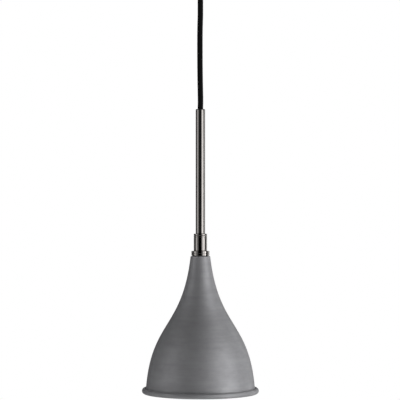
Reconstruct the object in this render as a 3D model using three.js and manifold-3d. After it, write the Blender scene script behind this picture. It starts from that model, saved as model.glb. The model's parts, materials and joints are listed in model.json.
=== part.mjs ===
// A pendant ceiling light: a spun metal shade on a polished rod that hangs from
// the ceiling on a textile flex.
//
// Millimetres, +Z up. The origin is the middle of the ceiling plate's upper
// face, so everything hangs below z = 0. Heights are worked out from the
// ceiling down, each from the piece above it.

import * as THREE from 'three';
import { mergeVertices } from 'three/addons/utils/BufferGeometryUtils.js';
import Module from 'manifold-3d';

const wasm = await Module();
wasm.setup();

// ---------------------------------------------------------------- dimensions

// Fits that many pieces share.
const seat = 0.1;            // between faces that rest on each other
const fit = 0.15;            // all round a piece in its hole
const chamfer = 0.3;         // broken edges of turned metal

// The shade.
const shadeHeight = 176.2;   // top face to the lowest point of the rolled rim
const shadeRimRadius = 75;   // outside of the rolled rim
const neckStep = 1.25;       // how far the shade's neck stands out past the flange
const shadeWall = 1;
const rimRoll = 6.2;         // diameter of the rolled rim
const shoulderRadius = 1;    // rounding between the top face and the side
const hemInset = 4.8;        // outside of the rolled rim to the outside of the wall
const neckLean = 11;         // how far the side leaves the neck's line
const hemLean = 6.4;         // how far the side leaves the wall's line at the rim
const neckSweep = 0.544;     // share of the side's height that the neck curve pulls
const hemSweep = 0.524;      // share of the side's height that the belly curve pulls

// The rod and the turned fittings between it and the shade.
const bushRoom = 1.7;        // all round the flex in the rod's bore
const rodWall = 0.8;
const rodVisible = 160;      // bush lip to lock ring
const rodInsertion = 14;     // rod hidden in the lock ring and the collar
const collarWall = 2.3;
const lockRingHeight = 4.4;
const collarHeight = 17.5;
const grooveDepth = 0.5;
const flangeStep = 3;        // how far the flange stands out past the collar
const flangeHeight = 3;
const galleryHeight = 2.6;
const rubberHeight = 0.55;
const rubberInset = 0.9;
const nipplePlay = 0.5;      // all round the flex in the all-thread tube
const nippleWall = 1;
const nutLand = 2;           // from the thread to a nut's flats

// The flex.
const flexRadius = 3.5;
const flexSides = 12;
const conductorRadius = 1.1;
const cordDrop = 165.5;      // canopy grip to rod bush
const bendBelowGrip = 40;    // straight flex that the canopy can slide down over
const bendInRod = 1.5;       // depth of the rod's tilting point below the bush's lip
const flexGap = 0.3;         // between two stretches of flex

// The ceiling canopy and its grip.
const canopyRadius = 50;
const canopyHeight = 30;
const canopyWall = 1;
const canopyCorner = 5;
const canopyCeilingGap = 0.5;
const gripWall = 3.8;
const gripLength = 14;
const gripBoreGap = 0.7;     // round the flex, so that the canopy slides
const gripNeckRise = 5;      // threaded neck inside the canopy

// The ceiling plate and what it carries.
const plateRadius = 43;
const plateThickness = 1.5;
const slotSpacing = 60;
const slotWidth = 5;
const slotLength = 12;
const cableHoleRadius = 6.5;
const cableHoleOffset = 33;
const bracketMargin = 3.4;   // clamp screw to the bracket's side edge
const bracketClearance = 1;  // grip's neck to the bracket's lower end
const bracketFoot = 10;
const bracketThickness = 1.5;
const saddleHeight = 8;
const saddleThickness = 1.8;
const saddleRise = 5;        // bracket's lower end to the saddle's middle
const flexTail = 1.5;        // outer cover standing out of the saddle
const blockWidth = 26;
const blockDepth = 16;
const blockHeight = 12;
const blockOffset = 17;
const polePitch = 8;
const poleRowOffset = 4.5;

// The lampholder, for a small Edison screw cap.
const holderDrop = 20;       // shade's top face to the top of the holder's cap
const capNeckWall = 2.35;
const capNeckHeight = 7;
const capShoulderHeight = 8.5;
const capHeight = 28;
const capWall = 1.8;
const capRoofDrop = 10;      // top of the cap to its inner roof
const skirtWall = 5.5;       // screw shell's seat to the skirt's outside
const skirtHeight = 35.4;
const skirtTaper = 0.8;
const spigotWall = 1;
const spigotRise = 3;
const shellWall = 0.4;
const shellRoom = 0.35;      // all round the screw shell
const skirtFloorDrop = 11.5; // cap's lower edge to the step inside the skirt
const coreHeight = 11;
const postSize = { x: 5, y: 6, z: 4.9 };
const postOffset = 6;

// The screw thread of the lamp cap.
const threadPitch = 2.822;
const lampThreadRadius = 6.95;
const threadDepth = 0.55;
const threadPlay = 0.25;
const lampThreadTurns = 5;

// The lamp.
const lampLength = 78;
const bulbRadius = 22.5;
const glassWall = 0.9;
const contactHeight = 1.4;
const insulatorHeight = 2.9;
const lampNeckInset = 1.25;  // glass neck inside the screw cap's thread
const lampNeckRoom = 0.35;   // all round the glass neck

// How finely round things are cut.
const wideSegments = 36;
const midSegments = 20;
const smallSegments = 14;
const screwSegments = 10;

// ------------------------------------------------ radii that follow the flex

const rodBore = flexRadius + bushRoom;
const rodRadius = rodBore + rodWall;
const collarRadius = rodRadius + fit + collarWall;
const flangeRadius = collarRadius + flangeStep;
const shadeNeckRadius = flangeRadius + neckStep;
const nippleBore = flexRadius + nipplePlay;
const nippleRadius = nippleBore + nippleWall;
const nippleHole = nippleRadius + fit;
const nutFlat = nippleRadius + nutLand;
const capNeckRadius = nippleHole + capNeckWall;
const gripBore = flexRadius + gripBoreGap;
const gripRadius = gripBore + gripWall;

// -------------------------------------------- radii that follow the lamp's cap

const shellRoot = lampThreadRadius + threadPlay;
const shellCrest = shellRoot + threadDepth;
const skirtBoreRadius = shellCrest + shellWall + shellRoom;
const holderRadius = skirtBoreRadius + skirtWall;
const skirtTipRadius = holderRadius - skirtTaper;
const lampNeckRadius = lampThreadRadius - lampNeckInset;

// -------------------------------------------------------------------- levels

const canopyTop = -canopyCeilingGap;
const canopyBottom = canopyTop - canopyHeight;
const gripTop = canopyBottom - seat;
const gripBottom = gripTop - gripLength + seat;
const swingLevel = gripBottom - bendBelowGrip;
const lipTop = gripBottom - cordDrop;
const tiltLevel = lipTop - bendInRod;

const bushLip = 0.8;
const rodTop = lipTop - bushLip - seat;
const lockRingTop = lipTop - rodVisible;
const rodBottom = lockRingTop - rodInsertion;
const collarTop = lockRingTop - lockRingHeight - seat;
const collarBottom = collarTop - collarHeight;
const flangeTop = collarBottom - seat;
const galleryTop = flangeTop - flangeHeight - seat;
const rubberTop = galleryTop - galleryHeight - seat;
const shadeTop = rubberTop - rubberHeight - seat;
const shadeRoof = shadeTop - shadeWall;
const rimCentre = shadeTop - shadeHeight + rimRoll / 2;

const capTop = shadeTop - holderDrop;
const capNeckEnd = capTop - capNeckHeight;
const capShoulderEnd = capNeckEnd - capShoulderHeight;
const capRoof = capTop - capRoofDrop;
const capBottom = capTop - capHeight;
const nippleTop = rodBottom - 2;
const nippleBottom = capRoof - 4.5;
const sheathEnd = nippleBottom - 1;
const coreTop = capBottom + 0.5;
const coreBottom = coreTop - coreHeight;
const skirtTop = capBottom - seat;
const skirtFloor = skirtTop - skirtFloorDrop - 1.5;
const skirtBottom = skirtTop - skirtHeight;
const lampTip = coreBottom - 2;
const insulatorTop = lampTip - contactHeight - seat;
const lampShellTop = insulatorTop - insulatorHeight - seat;
const lampShellBottom = lampShellTop - lampThreadTurns * threadPitch - 2.4;
const glassBottom = lampTip - lampLength;
const bulbCentre = glassBottom + bulbRadius;
const screwShellTop = skirtFloor - 4;

// ----------------------------------------------------------------- materials

const finish = (color, roughness, metalness) =>
  new THREE.MeshStandardMaterial({ color, roughness, metalness });

const greyPowder = finish(0x66666a, 0.75, 0.1);
const blackNickel = finish(0x54504d, 0.12, 1);
const textile = finish(0x0c0c0d, 0.9, 0);
const zinc = finish(0xb4b6b8, 0.4, 1);
const brass = finish(0xb99a54, 0.35, 1);
const nickel = finish(0xc9c6bf, 0.25, 1);
const blackPlastic = finish(0x141415, 0.5, 0);
const whitePlastic = finish(0xe4e2da, 0.4, 0);
const rubber = finish(0x101010, 0.85, 0);
const brownSleeve = finish(0x5a3320, 0.5, 0);
const blueSleeve = finish(0x2450a0, 0.5, 0);
const earthSleeve = finish(0x6f9a2c, 0.5, 0);
const opalGlass = finish(0xf3f1ea, 0.3, 0);
const clearGlass = finish(0xdfe6e6, 0.05, 0);
const tungsten = finish(0x6d6d70, 0.4, 1);

// ------------------------------------------------------------- making solids

const light = new THREE.Group();
const X = new THREE.Vector3(1, 0, 0);
const Y = new THREE.Vector3(0, 1, 0);
const Z = new THREE.Vector3(0, 0, 1);

function add(name, geometry, material) {
  const mesh = new THREE.Mesh(geometry, material);
  mesh.name = name;
  light.add(mesh);
  return mesh;
}

// Turns a closed loop of [radius, z] points about the Z axis.
function turned(loop, segments) {
  let area = 0;
  loop.forEach(([r, z], i) => {
    const [nextR, nextZ] = loop[(i + 1) % loop.length];
    area += r * nextZ - nextR * z;
  });
  const points = (area > 0 ? loop : [...loop].reverse()).map(([r, z]) => new THREE.Vector2(r, z));
  const start = points.findIndex((p, i) => p.x === 0 && points.at(i - 1).x === 0);
  const onAxis = start >= 0;
  const ordered = onAxis ? [...points.slice(start), ...points.slice(0, start)] : [...points, points[0]];
  return new THREE.LatheGeometry(ordered, segments).rotateX(Math.PI / 2);
}

// A washer-like ring between two heights.
function ring(inner, outer, low, high, segments) {
  return turned([[inner, low], [outer, low], [outer, high], [inner, high]], segments);
}

// A ring with its outer edges broken.
function brokenRing(inner, outer, low, high, segments, bevel = chamfer) {
  return turned([
    [inner, low], [outer - bevel, low], [outer, low + bevel],
    [outer, high - bevel], [outer - bevel, high], [inner, high],
  ], segments);
}

function rod(radius, low, high, segments) {
  return turned([[0, low], [radius, low], [radius, high], [0, high]], segments);
}

// A flat outline in X and Y, drawn up between two heights.
function plate(shape, low, high, curveSegments = 6) {
  const settings = { depth: high - low, bevelEnabled: false, curveSegments };
  return new THREE.ExtrudeGeometry(shape, settings).translate(0, 0, low);
}

// An outline of [y, z] points drawn along X, centred on x = 0.
function alongX(points, width) {
  const shape = new THREE.Shape(points.map(([y, z]) => new THREE.Vector2(y, z)));
  const turn = new THREE.Matrix4().makeBasis(Y, Z, X);
  const settings = { depth: width, bevelEnabled: false };
  return new THREE.ExtrudeGeometry(shape, settings).applyMatrix4(turn).translate(-width / 2, 0, 0);
}

// An outline of [x, z] points drawn along Y, centred on y = 0.
function alongY(points, depth) {
  const shape = new THREE.Shape(points.map(([x, z]) => new THREE.Vector2(x, z)));
  const turn = new THREE.Matrix4().makeBasis(X, Z, new THREE.Vector3(0, -1, 0));
  const settings = { depth, bevelEnabled: false };
  return new THREE.ExtrudeGeometry(shape, settings).applyMatrix4(turn).translate(0, depth / 2, 0);
}

function polygonShape(radius, sides, turn = 0) {
  const corners = Array.from({ length: sides }, (_, i) => {
    const angle = turn + (i * 2 * Math.PI) / sides;
    return new THREE.Vector2(radius * Math.cos(angle), radius * Math.sin(angle));
  });
  return new THREE.Shape(corners);
}

function circleHole(x, y, radius) {
  return new THREE.Path().absarc(x, y, radius, 0, 2 * Math.PI, true);
}

// A tube along a smooth curve through [x, y, z] points.
function tube(points, radius, sides, steps) {
  const route = new THREE.CatmullRomCurve3(points.map((p) => new THREE.Vector3(...p)));
  const settings = { steps, bevelEnabled: false, extrudePath: route };
  return new THREE.ExtrudeGeometry(polygonShape(radius, sides), settings);
}

function toSolid(geometry) {
  const bare = geometry.clone();
  bare.deleteAttribute('normal');
  bare.deleteAttribute('uv');
  const merged = mergeVertices(bare, 1e-4);
  return new wasm.Manifold(new wasm.Mesh({
    numProp: 3,
    vertProperties: new Float32Array(merged.attributes.position.array),
    triVerts: new Uint32Array(merged.index.array),
  }));
}

function toGeometry(solid) {
  const mesh = solid.getMesh();
  const geometry = new THREE.BufferGeometry();
  geometry.setAttribute('position', new THREE.BufferAttribute(mesh.vertProperties, 3));
  geometry.setIndex(new THREE.BufferAttribute(mesh.triVerts, 1));
  return geometry.toNonIndexed();
}

function cut(geometry, ...tools) {
  return toGeometry(tools.reduce((solid, tool) => solid.subtract(toSolid(tool)), toSolid(geometry)));
}

function joined(geometry, ...others) {
  return toGeometry(others.reduce((solid, other) => solid.add(toSolid(other)), toSolid(geometry)));
}

// A round cutter through a wall, along a direction.
function drill(radius, length, at, direction, segments = screwSegments) {
  const cutter = rod(radius, -length / 2, length / 2, segments);
  cutter.applyQuaternion(new THREE.Quaternion().setFromUnitVectors(Z, direction));
  return cutter.translate(...at);
}

// A screw whose head points along +Z, with its head's underside at z = 0.
function screw({ headRadius, headHeight, shankRadius, shankLength }) {
  const dome = headHeight * 0.35;
  const blank = turned([
    [0, -shankLength], [shankRadius, -shankLength], [shankRadius, 0], [headRadius, 0],
    [headRadius, headHeight - dome], [headRadius - dome, headHeight], [0, headHeight],
  ], screwSegments);
  return slotted(blank, headRadius, headHeight);
}

// A headless screw between z = -length and z = 0.
function grubScrew(radius, length) {
  return slotted(rod(radius, -length, 0, screwSegments), radius, 0);
}

function slotted(blank, radius, top) {
  const slotShare = { width: 0.3, depth: 0.35 };
  const width = radius * slotShare.width;
  const depth = radius * slotShare.depth;
  return cut(blank, new THREE.BoxGeometry(radius * 3, width, depth * 2).translate(0, 0, top));
}

// Places a screw: its head looks along a direction, with its underside at a point.
function drive(geometry, at, direction) {
  geometry.applyQuaternion(new THREE.Quaternion().setFromUnitVectors(Z, direction));
  return geometry.translate(...at);
}

const down = Z.clone().negate();

// ------------------------------------------------------------- ceiling plate

function slotPath(x, y) {
  const reach = slotLength / 2 - slotWidth / 2;
  const path = new THREE.Path();
  path.absarc(x - reach, y, slotWidth / 2, Math.PI * 1.5, Math.PI * 0.5, true);
  path.absarc(x + reach, y, slotWidth / 2, Math.PI * 0.5, -Math.PI * 0.5, true);
  return path;
}

const plateBottom = -plateThickness;
const earthScrewAt = [-18, -10];
const earthScrewSize = { headRadius: 3.3, headHeight: 2, shankRadius: 2, shankLength: 1.3 };

function ceilingPlate() {
  const disc = new THREE.Shape().absarc(0, 0, plateRadius, 0, 2 * Math.PI);
  disc.holes.push(
    slotPath(slotSpacing / 2, 0),
    slotPath(-slotSpacing / 2, 0),
    circleHole(0, cableHoleOffset, cableHoleRadius),
    circleHole(...earthScrewAt, earthScrewSize.shankRadius + fit),
  );
  return plate(disc, plateBottom, 0, 12);
}

add('ceiling_plate', ceilingPlate(), zinc);
add('earth_screw', drive(screw(earthScrewSize), [...earthScrewAt, plateBottom - seat], down), brass);

// -------------------------------------------------------------- strain relief

const tabFront = -flexRadius - seat;
const tabBack = tabFront - bracketThickness;
const bracketTop = plateBottom - seat;
const bracketBottom = gripTop + gripNeckRise + bracketClearance;
const saddleMiddle = bracketBottom + saddleRise;
const saddleScrewSize = {
  headRadius: 2.6, headHeight: 1.6, shankRadius: 1.5, shankLength: saddleThickness - tabBack + 1.5,
};
const saddleOuter = flexRadius + seat + saddleThickness;
const saddleScrewOffset = saddleOuter + saddleScrewSize.headRadius + 0.6;
const bracketWidth = 2 * (saddleScrewOffset + bracketMargin);

function clampBracket() {
  const outline = [
    [tabFront, bracketTop], [tabBack - bracketFoot, bracketTop],
    [tabBack - bracketFoot, bracketTop - bracketThickness],
    [tabBack, bracketTop - bracketThickness],
    [tabBack, bracketBottom], [tabFront, bracketBottom],
  ];
  const holes = [-1, 1].map((side) => drill(
    saddleScrewSize.shankRadius + fit, bracketThickness * 4,
    [side * saddleScrewOffset, tabFront, saddleMiddle], Y,
  ));
  return cut(alongX(outline, bracketWidth), ...holes);
}

function clampSaddle() {
  const inner = flexRadius + seat;
  const meeting = Math.asin(saddleThickness / saddleOuter);
  const half = bracketWidth / 2;
  const shape = new THREE.Shape();
  shape.moveTo(half, 0);
  shape.lineTo(half, saddleThickness);
  shape.absarc(0, 0, saddleOuter, meeting, Math.PI - meeting, false);
  shape.lineTo(-half, saddleThickness);
  shape.lineTo(-half, 0);
  shape.absarc(0, 0, inner, Math.PI, 0, true);
  const strap = plate(shape, saddleMiddle - saddleHeight / 2, saddleMiddle + saddleHeight / 2);
  const holes = [-1, 1].map((side) => drill(
    saddleScrewSize.shankRadius + fit, saddleThickness * 4,
    [side * saddleScrewOffset, saddleThickness / 2, saddleMiddle], Y,
  ));
  return cut(strap, ...holes);
}

add('clamp_bracket', clampBracket(), zinc);
add('clamp_saddle', clampSaddle(), zinc);
for (const [name, side] of [['left', -1], ['right', 1]]) {
  const head = [side * saddleScrewOffset, saddleThickness + seat, saddleMiddle];
  add(`clamp_screw_${name}`, drive(screw(saddleScrewSize), head, Y), zinc);
}

// ------------------------------------------------------------- terminal block

const blockTop = plateBottom - seat;
const blockBottom = blockTop - blockHeight;
const wireLevel = blockTop - blockHeight * 0.38;
const terminalScrewRadius = 1.7;

function terminalBlock() {
  const notch = { width: 1.2, depth: 4 };
  const half = blockWidth / 2;
  const outline = [[-half, blockTop], [-half, blockBottom]];
  const notchRoof = blockBottom + notch.depth;
  for (const side of [-1, 1]) {
    const left = (side * polePitch) / 2 - notch.width / 2;
    const right = left + notch.width;
    outline.push([left, blockBottom], [left, notchRoof], [right, notchRoof], [right, blockBottom]);
  }
  outline.push([half, blockBottom], [half, blockTop]);
  const body = alongY(outline, blockDepth).translate(0, blockOffset, 0);
  const holes = [-1, 0, 1].flatMap((pole) => [
    drill(conductorRadius + 0.4, blockDepth * 2, [pole * polePitch, blockOffset, wireLevel], Y),
    ...[-1, 1].map((row) => drill(
      terminalScrewRadius + fit, blockHeight,
      [pole * polePitch, blockOffset + row * poleRowOffset, wireLevel - blockHeight / 2], Z,
    )),
  ]);
  return cut(body, ...holes);
}

add('terminal_block', terminalBlock(), whitePlastic);
[-1, 0, 1].forEach((pole, column) => {
  [-1, 1].forEach((row, line) => {
    const length = blockHeight * 0.35;
    const at = [pole * polePitch, blockOffset + row * poleRowOffset, blockBottom + 1];
    const name = `terminal_screw_${column * 2 + line + 1}`;
    add(name, drive(grubScrew(terminalScrewRadius, length), at, down), zinc);
  });
});

// -------------------------------------------------------- flex in the canopy

const tailEnd = saddleMiddle + saddleHeight / 2 + flexTail;
const wireRise = plateBottom - tailEnd;
const blockFace = blockOffset - blockDepth / 2;

add('flex_in_canopy', rod(flexRadius, gripBottom + flexGap / 2, tailEnd, flexSides), textile);

function canopyWire(side) {
  const lead = side * flexRadius * 0.46;
  const pole = side * polePitch;
  return tube([
    [lead, 0.8, tailEnd + flexGap],
    [lead, 0.8, tailEnd + 2],
    [(lead + pole) / 2, blockFace * 0.4, (tailEnd + wireLevel) / 2 + 2],
    [pole, blockFace - 1.5, wireLevel],
    [pole, blockFace + 2.4, wireLevel],
  ], conductorRadius, 8, 10);
}

add('wire_line', canopyWire(1), brownSleeve);
add('wire_neutral', canopyWire(-1), blueSleeve);
const besideScrew = earthScrewAt[1] + earthScrewSize.headRadius + conductorRadius + seat;
add('wire_earth', tube([
  [0, -1.9, tailEnd + flexGap],
  [-0.2, -1.9, tailEnd + 2],
  [-4, -2.2, tailEnd + wireRise * 0.45],
  [-bracketWidth / 2 + 2, -2, tailEnd + wireRise * 0.55],
  [-bracketWidth / 2 - 4, -3, tailEnd + wireRise * 0.65],
  [earthScrewAt[0], besideScrew, tailEnd + wireRise * 0.75],
], conductorRadius, 8, 12), earthSleeve);

// -------------------------------------------------------------------- canopy

const gripScrewLevel = (gripTop + gripBottom) / 2;
const gripScrewRadius = 2;

function canopyCup() {
  const inner = canopyCorner - canopyWall;
  const outerBend = bend(canopyRadius - canopyCorner, canopyBottom + canopyCorner, canopyCorner, -90, 0, 4);
  const innerBend = bend(canopyRadius - canopyCorner, canopyBottom + canopyCorner, inner, 0, -90, 3);
  return turned([
    [nippleHole, canopyBottom],
    ...outerBend,
    [canopyRadius, canopyTop], [canopyRadius - canopyWall, canopyTop],
    ...innerBend,
    [nippleHole, canopyBottom + canopyWall],
  ], wideSegments);
}

// Points on an arc of the turning plane, from one angle to another in degrees.
function bend(r, z, radius, from, to, steps) {
  return Array.from({ length: steps + 1 }, (_, i) => {
    const angle = THREE.MathUtils.degToRad(from + ((to - from) * i) / steps);
    return [r + radius * Math.cos(angle), z + radius * Math.sin(angle)];
  });
}

const gripNutHeight = 3;

function hexNut(low, height) {
  const shape = polygonShape(nutFlat / Math.cos(Math.PI / 6), 6);
  shape.holes.push(circleHole(0, 0, nippleHole));
  return plate(shape, low, low + height, 8);
}

function gripBody() {
  const body = turned([
    [gripBore, gripBottom], [gripRadius - 1, gripBottom], [gripRadius, gripBottom + 1],
    [gripRadius, gripTop - chamfer], [gripRadius - chamfer, gripTop], [nippleRadius, gripTop],
    [nippleRadius, gripTop + gripNeckRise], [gripBore, gripTop + gripNeckRise],
  ], midSegments);
  return cut(body, drill(gripScrewRadius + fit, gripRadius * 1.5, [gripRadius, 0, gripScrewLevel], X));
}

function gripScrew() {
  const head = { radius: 3, height: 5 };
  const tip = gripRadius - flexRadius - flexGap;
  const blank = turned([
    [0, -tip], [gripScrewRadius, -tip], [gripScrewRadius, seat], [head.radius, seat],
    [head.radius, head.height - 0.6], [head.radius - 0.6, head.height], [0, head.height],
  ], screwSegments);
  return drive(slotted(blank, head.radius, head.height), [gripRadius, 0, gripScrewLevel], X);
}

add('canopy_cup', canopyCup(), blackNickel);
add('grip_body', gripBody(), blackNickel);
add('grip_nut', hexNut(canopyBottom + canopyWall + seat, gripNutHeight), zinc);
add('grip_screw', gripScrew(), blackPlastic);

// ----------------------------------------------------------------- free flex

// The free flex hangs a little bowed. Its route is [sideways, height] by hand,
// with heights as shares of the way from the canopy's bend to the rod's.
const flexBow = [
  [0, 0], [-0.1, 0.04], [-0.25, 0.08], [-0.4, 0.13], [-0.5, 0.18], [-0.57, 0.24],
  [-0.6, 0.3], [-0.6, 0.38], [-0.58, 0.46], [-0.52, 0.54], [-0.44, 0.61], [-0.33, 0.68],
  [-0.2, 0.75], [-0.05, 0.81], [0.06, 0.86], [0.14, 0.9], [0.15, 0.94], [0.1, 0.97], [0, 1],
];

function domeAt(level, side) {
  const dome = new THREE.SphereGeometry(flexRadius, flexSides, 6).rotateX(Math.PI / 2);
  return dome.translate(0, 0, level + side * (flexRadius + flexGap / 2));
}

function freeFlex() {
  const top = swingLevel - flexRadius - flexGap / 2;
  const bottom = tiltLevel + flexRadius + flexGap / 2;
  const route = flexBow.map(([x, share]) => [x, 0, top + (bottom - top) * share]);
  const body = tube(route, flexRadius, flexSides, 12);
  return joined(body, domeAt(swingLevel, -1), domeAt(tiltLevel, 1));
}

// A straight stretch of flex with a round end towards the middle of a bend.
function straightFlex(low, high, domeTop) {
  const centre = domeTop ? high - flexRadius : low + flexRadius;
  const cap = domeTop ? bend(0, centre, flexRadius, 0, 90, 3) : bend(0, centre, flexRadius, -90, 0, 3);
  cap[domeTop ? 3 : 0][0] = 0;
  const loop = domeTop
    ? [[0, low], [flexRadius, low], ...cap]
    : [...cap, [flexRadius, high], [0, high]];
  return turned(loop, flexSides);
}

add('flex_top', straightFlex(swingLevel + flexGap / 2, gripBottom - flexGap / 2, false), textile);
add('flex_free', freeFlex(), textile);
add('flex_in_rod', straightFlex(sheathEnd, tiltLevel - flexGap / 2, true), textile);

// ----------------------------------------------------------------------- rod

function mouthBush() {
  const sleeve = rodBore - fit;
  const depth = 8;
  return turned([
    [flexRadius + 0.5, lipTop - depth], [sleeve, lipTop - depth],
    [sleeve, lipTop - bushLip], [rodRadius - 0.2, lipTop - bushLip],
    [rodRadius - 0.2, lipTop - 0.3], [rodRadius - 0.5, lipTop],
    [rodBore - 0.4, lipTop], [flexRadius + 0.85, lipTop - bendInRod],
    [flexRadius + 0.5, lipTop - bendInRod - 2.5],
  ], midSegments);
}

function lockRing() {
  const bottom = collarTop + seat;
  const middle = (lockRingTop + bottom) / 2;
  const hole = rodRadius + fit;
  return turned([
    [hole, bottom], [collarRadius - chamfer, bottom], [collarRadius, bottom + chamfer],
    [collarRadius, middle - grooveDepth], [collarRadius - grooveDepth, middle],
    [collarRadius, middle + grooveDepth], [collarRadius, lockRingTop - chamfer],
    [collarRadius - chamfer, lockRingTop], [hole, lockRingTop],
  ], midSegments);
}

const grubRadius = 1.85;
const grubLevel = (collarTop + rodBottom) / 2;

function collar() {
  const step = rodBottom - seat;
  const body = turned([
    [nippleHole, collarBottom], [collarRadius - chamfer, collarBottom],
    [collarRadius, collarBottom + chamfer], [collarRadius, collarTop - chamfer],
    [collarRadius - chamfer, collarTop], [rodRadius + fit, collarTop],
    [rodRadius + fit, step], [nippleHole, step],
  ], midSegments);
  return cut(body, drill(grubRadius + fit, collarRadius, [0, collarRadius, grubLevel], Y));
}

add('mouth_bush', mouthBush(), blackPlastic);
add('rod', ring(rodBore, rodRadius, rodBottom, rodTop, midSegments), blackNickel);
add('lock_ring', lockRing(), blackNickel);
add('collar', collar(), blackNickel);
add('collar_grub_screw', drive(
  grubScrew(grubRadius, collarRadius - rodRadius - 2 * fit), [0, collarRadius - fit, grubLevel], Y,
), zinc);
add('flange', brokenRing(
  nippleHole, flangeRadius, flangeTop - flangeHeight, flangeTop, midSegments,
), blackNickel);
add('gallery_washer', brokenRing(
  nippleHole, flangeRadius, galleryTop - galleryHeight, galleryTop, midSegments,
), blackNickel);
add('rubber_washer', ring(
  nippleHole, flangeRadius - rubberInset, rubberTop - rubberHeight, rubberTop, midSegments,
), rubber);
add('nipple', ring(nippleBore, nippleRadius, nippleBottom, nippleTop, midSegments), brass);

// --------------------------------------------------------------------- shade

const hemRadius = shadeRimRadius - hemInset;
const sideTop = shadeTop - shoulderRadius;

// The outside of the shade's wall, from the shoulder down to the rim.
const sideCurve = new THREE.CubicBezierCurve(
  new THREE.Vector2(shadeNeckRadius, sideTop),
  new THREE.Vector2(shadeNeckRadius + neckLean, sideTop + (rimCentre - sideTop) * neckSweep),
  new THREE.Vector2(hemRadius - hemLean, rimCentre + (sideTop - rimCentre) * hemSweep),
  new THREE.Vector2(hemRadius, rimCentre),
);

// A point on the wall, a distance in from its outside.
function wallPoint(share, depth) {
  const point = sideCurve.getPointAt(share);
  const along = sideCurve.getTangentAt(share);
  return [point.x + along.y * depth, point.y - along.x * depth];
}

function shade() {
  const steps = 11;
  const rimStart = 1 - (rimRoll * 0.42) / (sideTop - rimCentre);
  const outside = Array.from({ length: steps + 1 }, (_, i) => wallPoint((rimStart * i) / steps, 0));
  const inside = Array.from({ length: steps }, (_, i) => wallPoint(1 - (i + 0.3) / steps, shadeWall));
  const rollCentre = shadeRimRadius - rimRoll / 2;
  const roll = bend(rollCentre, rimCentre, rimRoll / 2, 125, -180, 7);
  return turned([
    [nippleHole, shadeTop], [shadeNeckRadius - shoulderRadius, shadeTop],
    ...outside, ...roll, ...inside,
    [shadeNeckRadius - shoulderRadius, shadeRoof], [nippleHole, shadeRoof],
  ], wideSegments);
}

function starWasher(low, height) {
  const teeth = 12;
  const corners = Array.from({ length: teeth * 2 }, (_, i) => {
    const radius = nippleRadius + (i % 2 ? 2.6 : 4);
    const angle = (i * Math.PI) / teeth;
    return new THREE.Vector2(radius * Math.cos(angle), radius * Math.sin(angle));
  });
  const shape = new THREE.Shape(corners);
  shape.holes.push(circleHole(0, 0, nippleHole));
  return plate(shape, low, low + height, 8);
}

const starHeight = 0.8;
const nippleNutHeight = 3.5;
const starLow = shadeRoof - seat - starHeight;

add('shade', shade(), greyPowder);
add('star_washer', starWasher(starLow, starHeight), zinc);
add('nipple_nut', hexNut(starLow - seat - nippleNutHeight, nippleNutHeight), zinc);

// ---------------------------------------------------------------- lampholder

const capScrewLevel = capTop - capNeckHeight / 2;
const tagThickness = 0.8;
const tagLow = capRoof - seat - tagThickness;
const tagReach = nutFlat + 1.9;
const tagLeg = 5.6;
const capNutHeight = 2.2;

function holderCap() {
  const rise = holderRadius - capNeckRadius;
  const innerRadius = holderRadius - capWall;
  const shoulder = (share) => Math.sin((share * Math.PI) / 2);
  const outside = [0.25, 0.5, 0.75, 1].map((share) =>
    [capNeckRadius + rise * shoulder(share), capNeckEnd - capShoulderHeight * share]);
  const inside = [1, 0.7, 0.4].map((share) =>
    [innerRadius - (1 - shoulder(share)) * 4, capRoof + (capShoulderEnd - 1 - capRoof) * share]);
  const body = turned([
    [nippleHole, capTop], [capNeckRadius - chamfer, capTop], [capNeckRadius, capTop - chamfer],
    [capNeckRadius, capNeckEnd], ...outside,
    [holderRadius, capBottom], [innerRadius, capBottom],
    ...inside, [tagReach + 0.6, capRoof], [nippleHole, capRoof],
  ], midSegments);
  return cut(body, drill(1.3 + fit, capNeckRadius, [capNeckRadius, 0, capScrewLevel], X));
}

function earthTag() {
  const root = nippleRadius + 1;
  const arm = new THREE.BoxGeometry(4, tagReach - root, tagThickness)
    .translate(0, (tagReach + root) / 2, tagLow + tagThickness / 2);
  const leg = new THREE.BoxGeometry(4, tagThickness, tagLeg)
    .translate(0, tagReach - tagThickness / 2, tagLow + tagThickness - tagLeg / 2);
  return joined(ring(nippleHole, nippleRadius + 2.6, tagLow, tagLow + tagThickness, midSegments), arm, leg);
}

add('holder_cap', holderCap(), blackPlastic);
add('cap_screw', drive(
  grubScrew(1.3, capNeckRadius - nippleRadius - 2 * fit), [capNeckRadius - fit, 0, capScrewLevel], X,
), zinc);
add('earth_tag', earthTag(), brass);
add('cap_nut', hexNut(tagLow - seat - capNutHeight, capNutHeight), zinc);

const spigotRadius = holderRadius - capWall - fit;
const coreRadius = spigotRadius - spigotWall - fit - 0.1;

function holderSkirt() {
  return turned([
    [skirtBoreRadius, skirtBottom], [skirtTipRadius - 0.6, skirtBottom],
    [skirtTipRadius, skirtBottom + 0.6], [holderRadius, skirtTop - 8],
    [holderRadius, skirtTop], [spigotRadius, skirtTop],
    [spigotRadius, skirtTop + spigotRise], [spigotRadius - spigotWall, skirtTop + spigotRise],
    [spigotRadius - spigotWall, skirtFloor + 1.5], [skirtBoreRadius, skirtFloor],
  ], midSegments);
}

add('holder_core', brokenRing(2, coreRadius, coreBottom, coreTop, midSegments), whitePlastic);
add('holder_skirt', holderSkirt(), blackPlastic);

const postLow = coreTop + seat;
const postScrewSize = { headRadius: 1.9, headHeight: 1.3, shankRadius: 1.3, shankLength: 3.4 };

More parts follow.
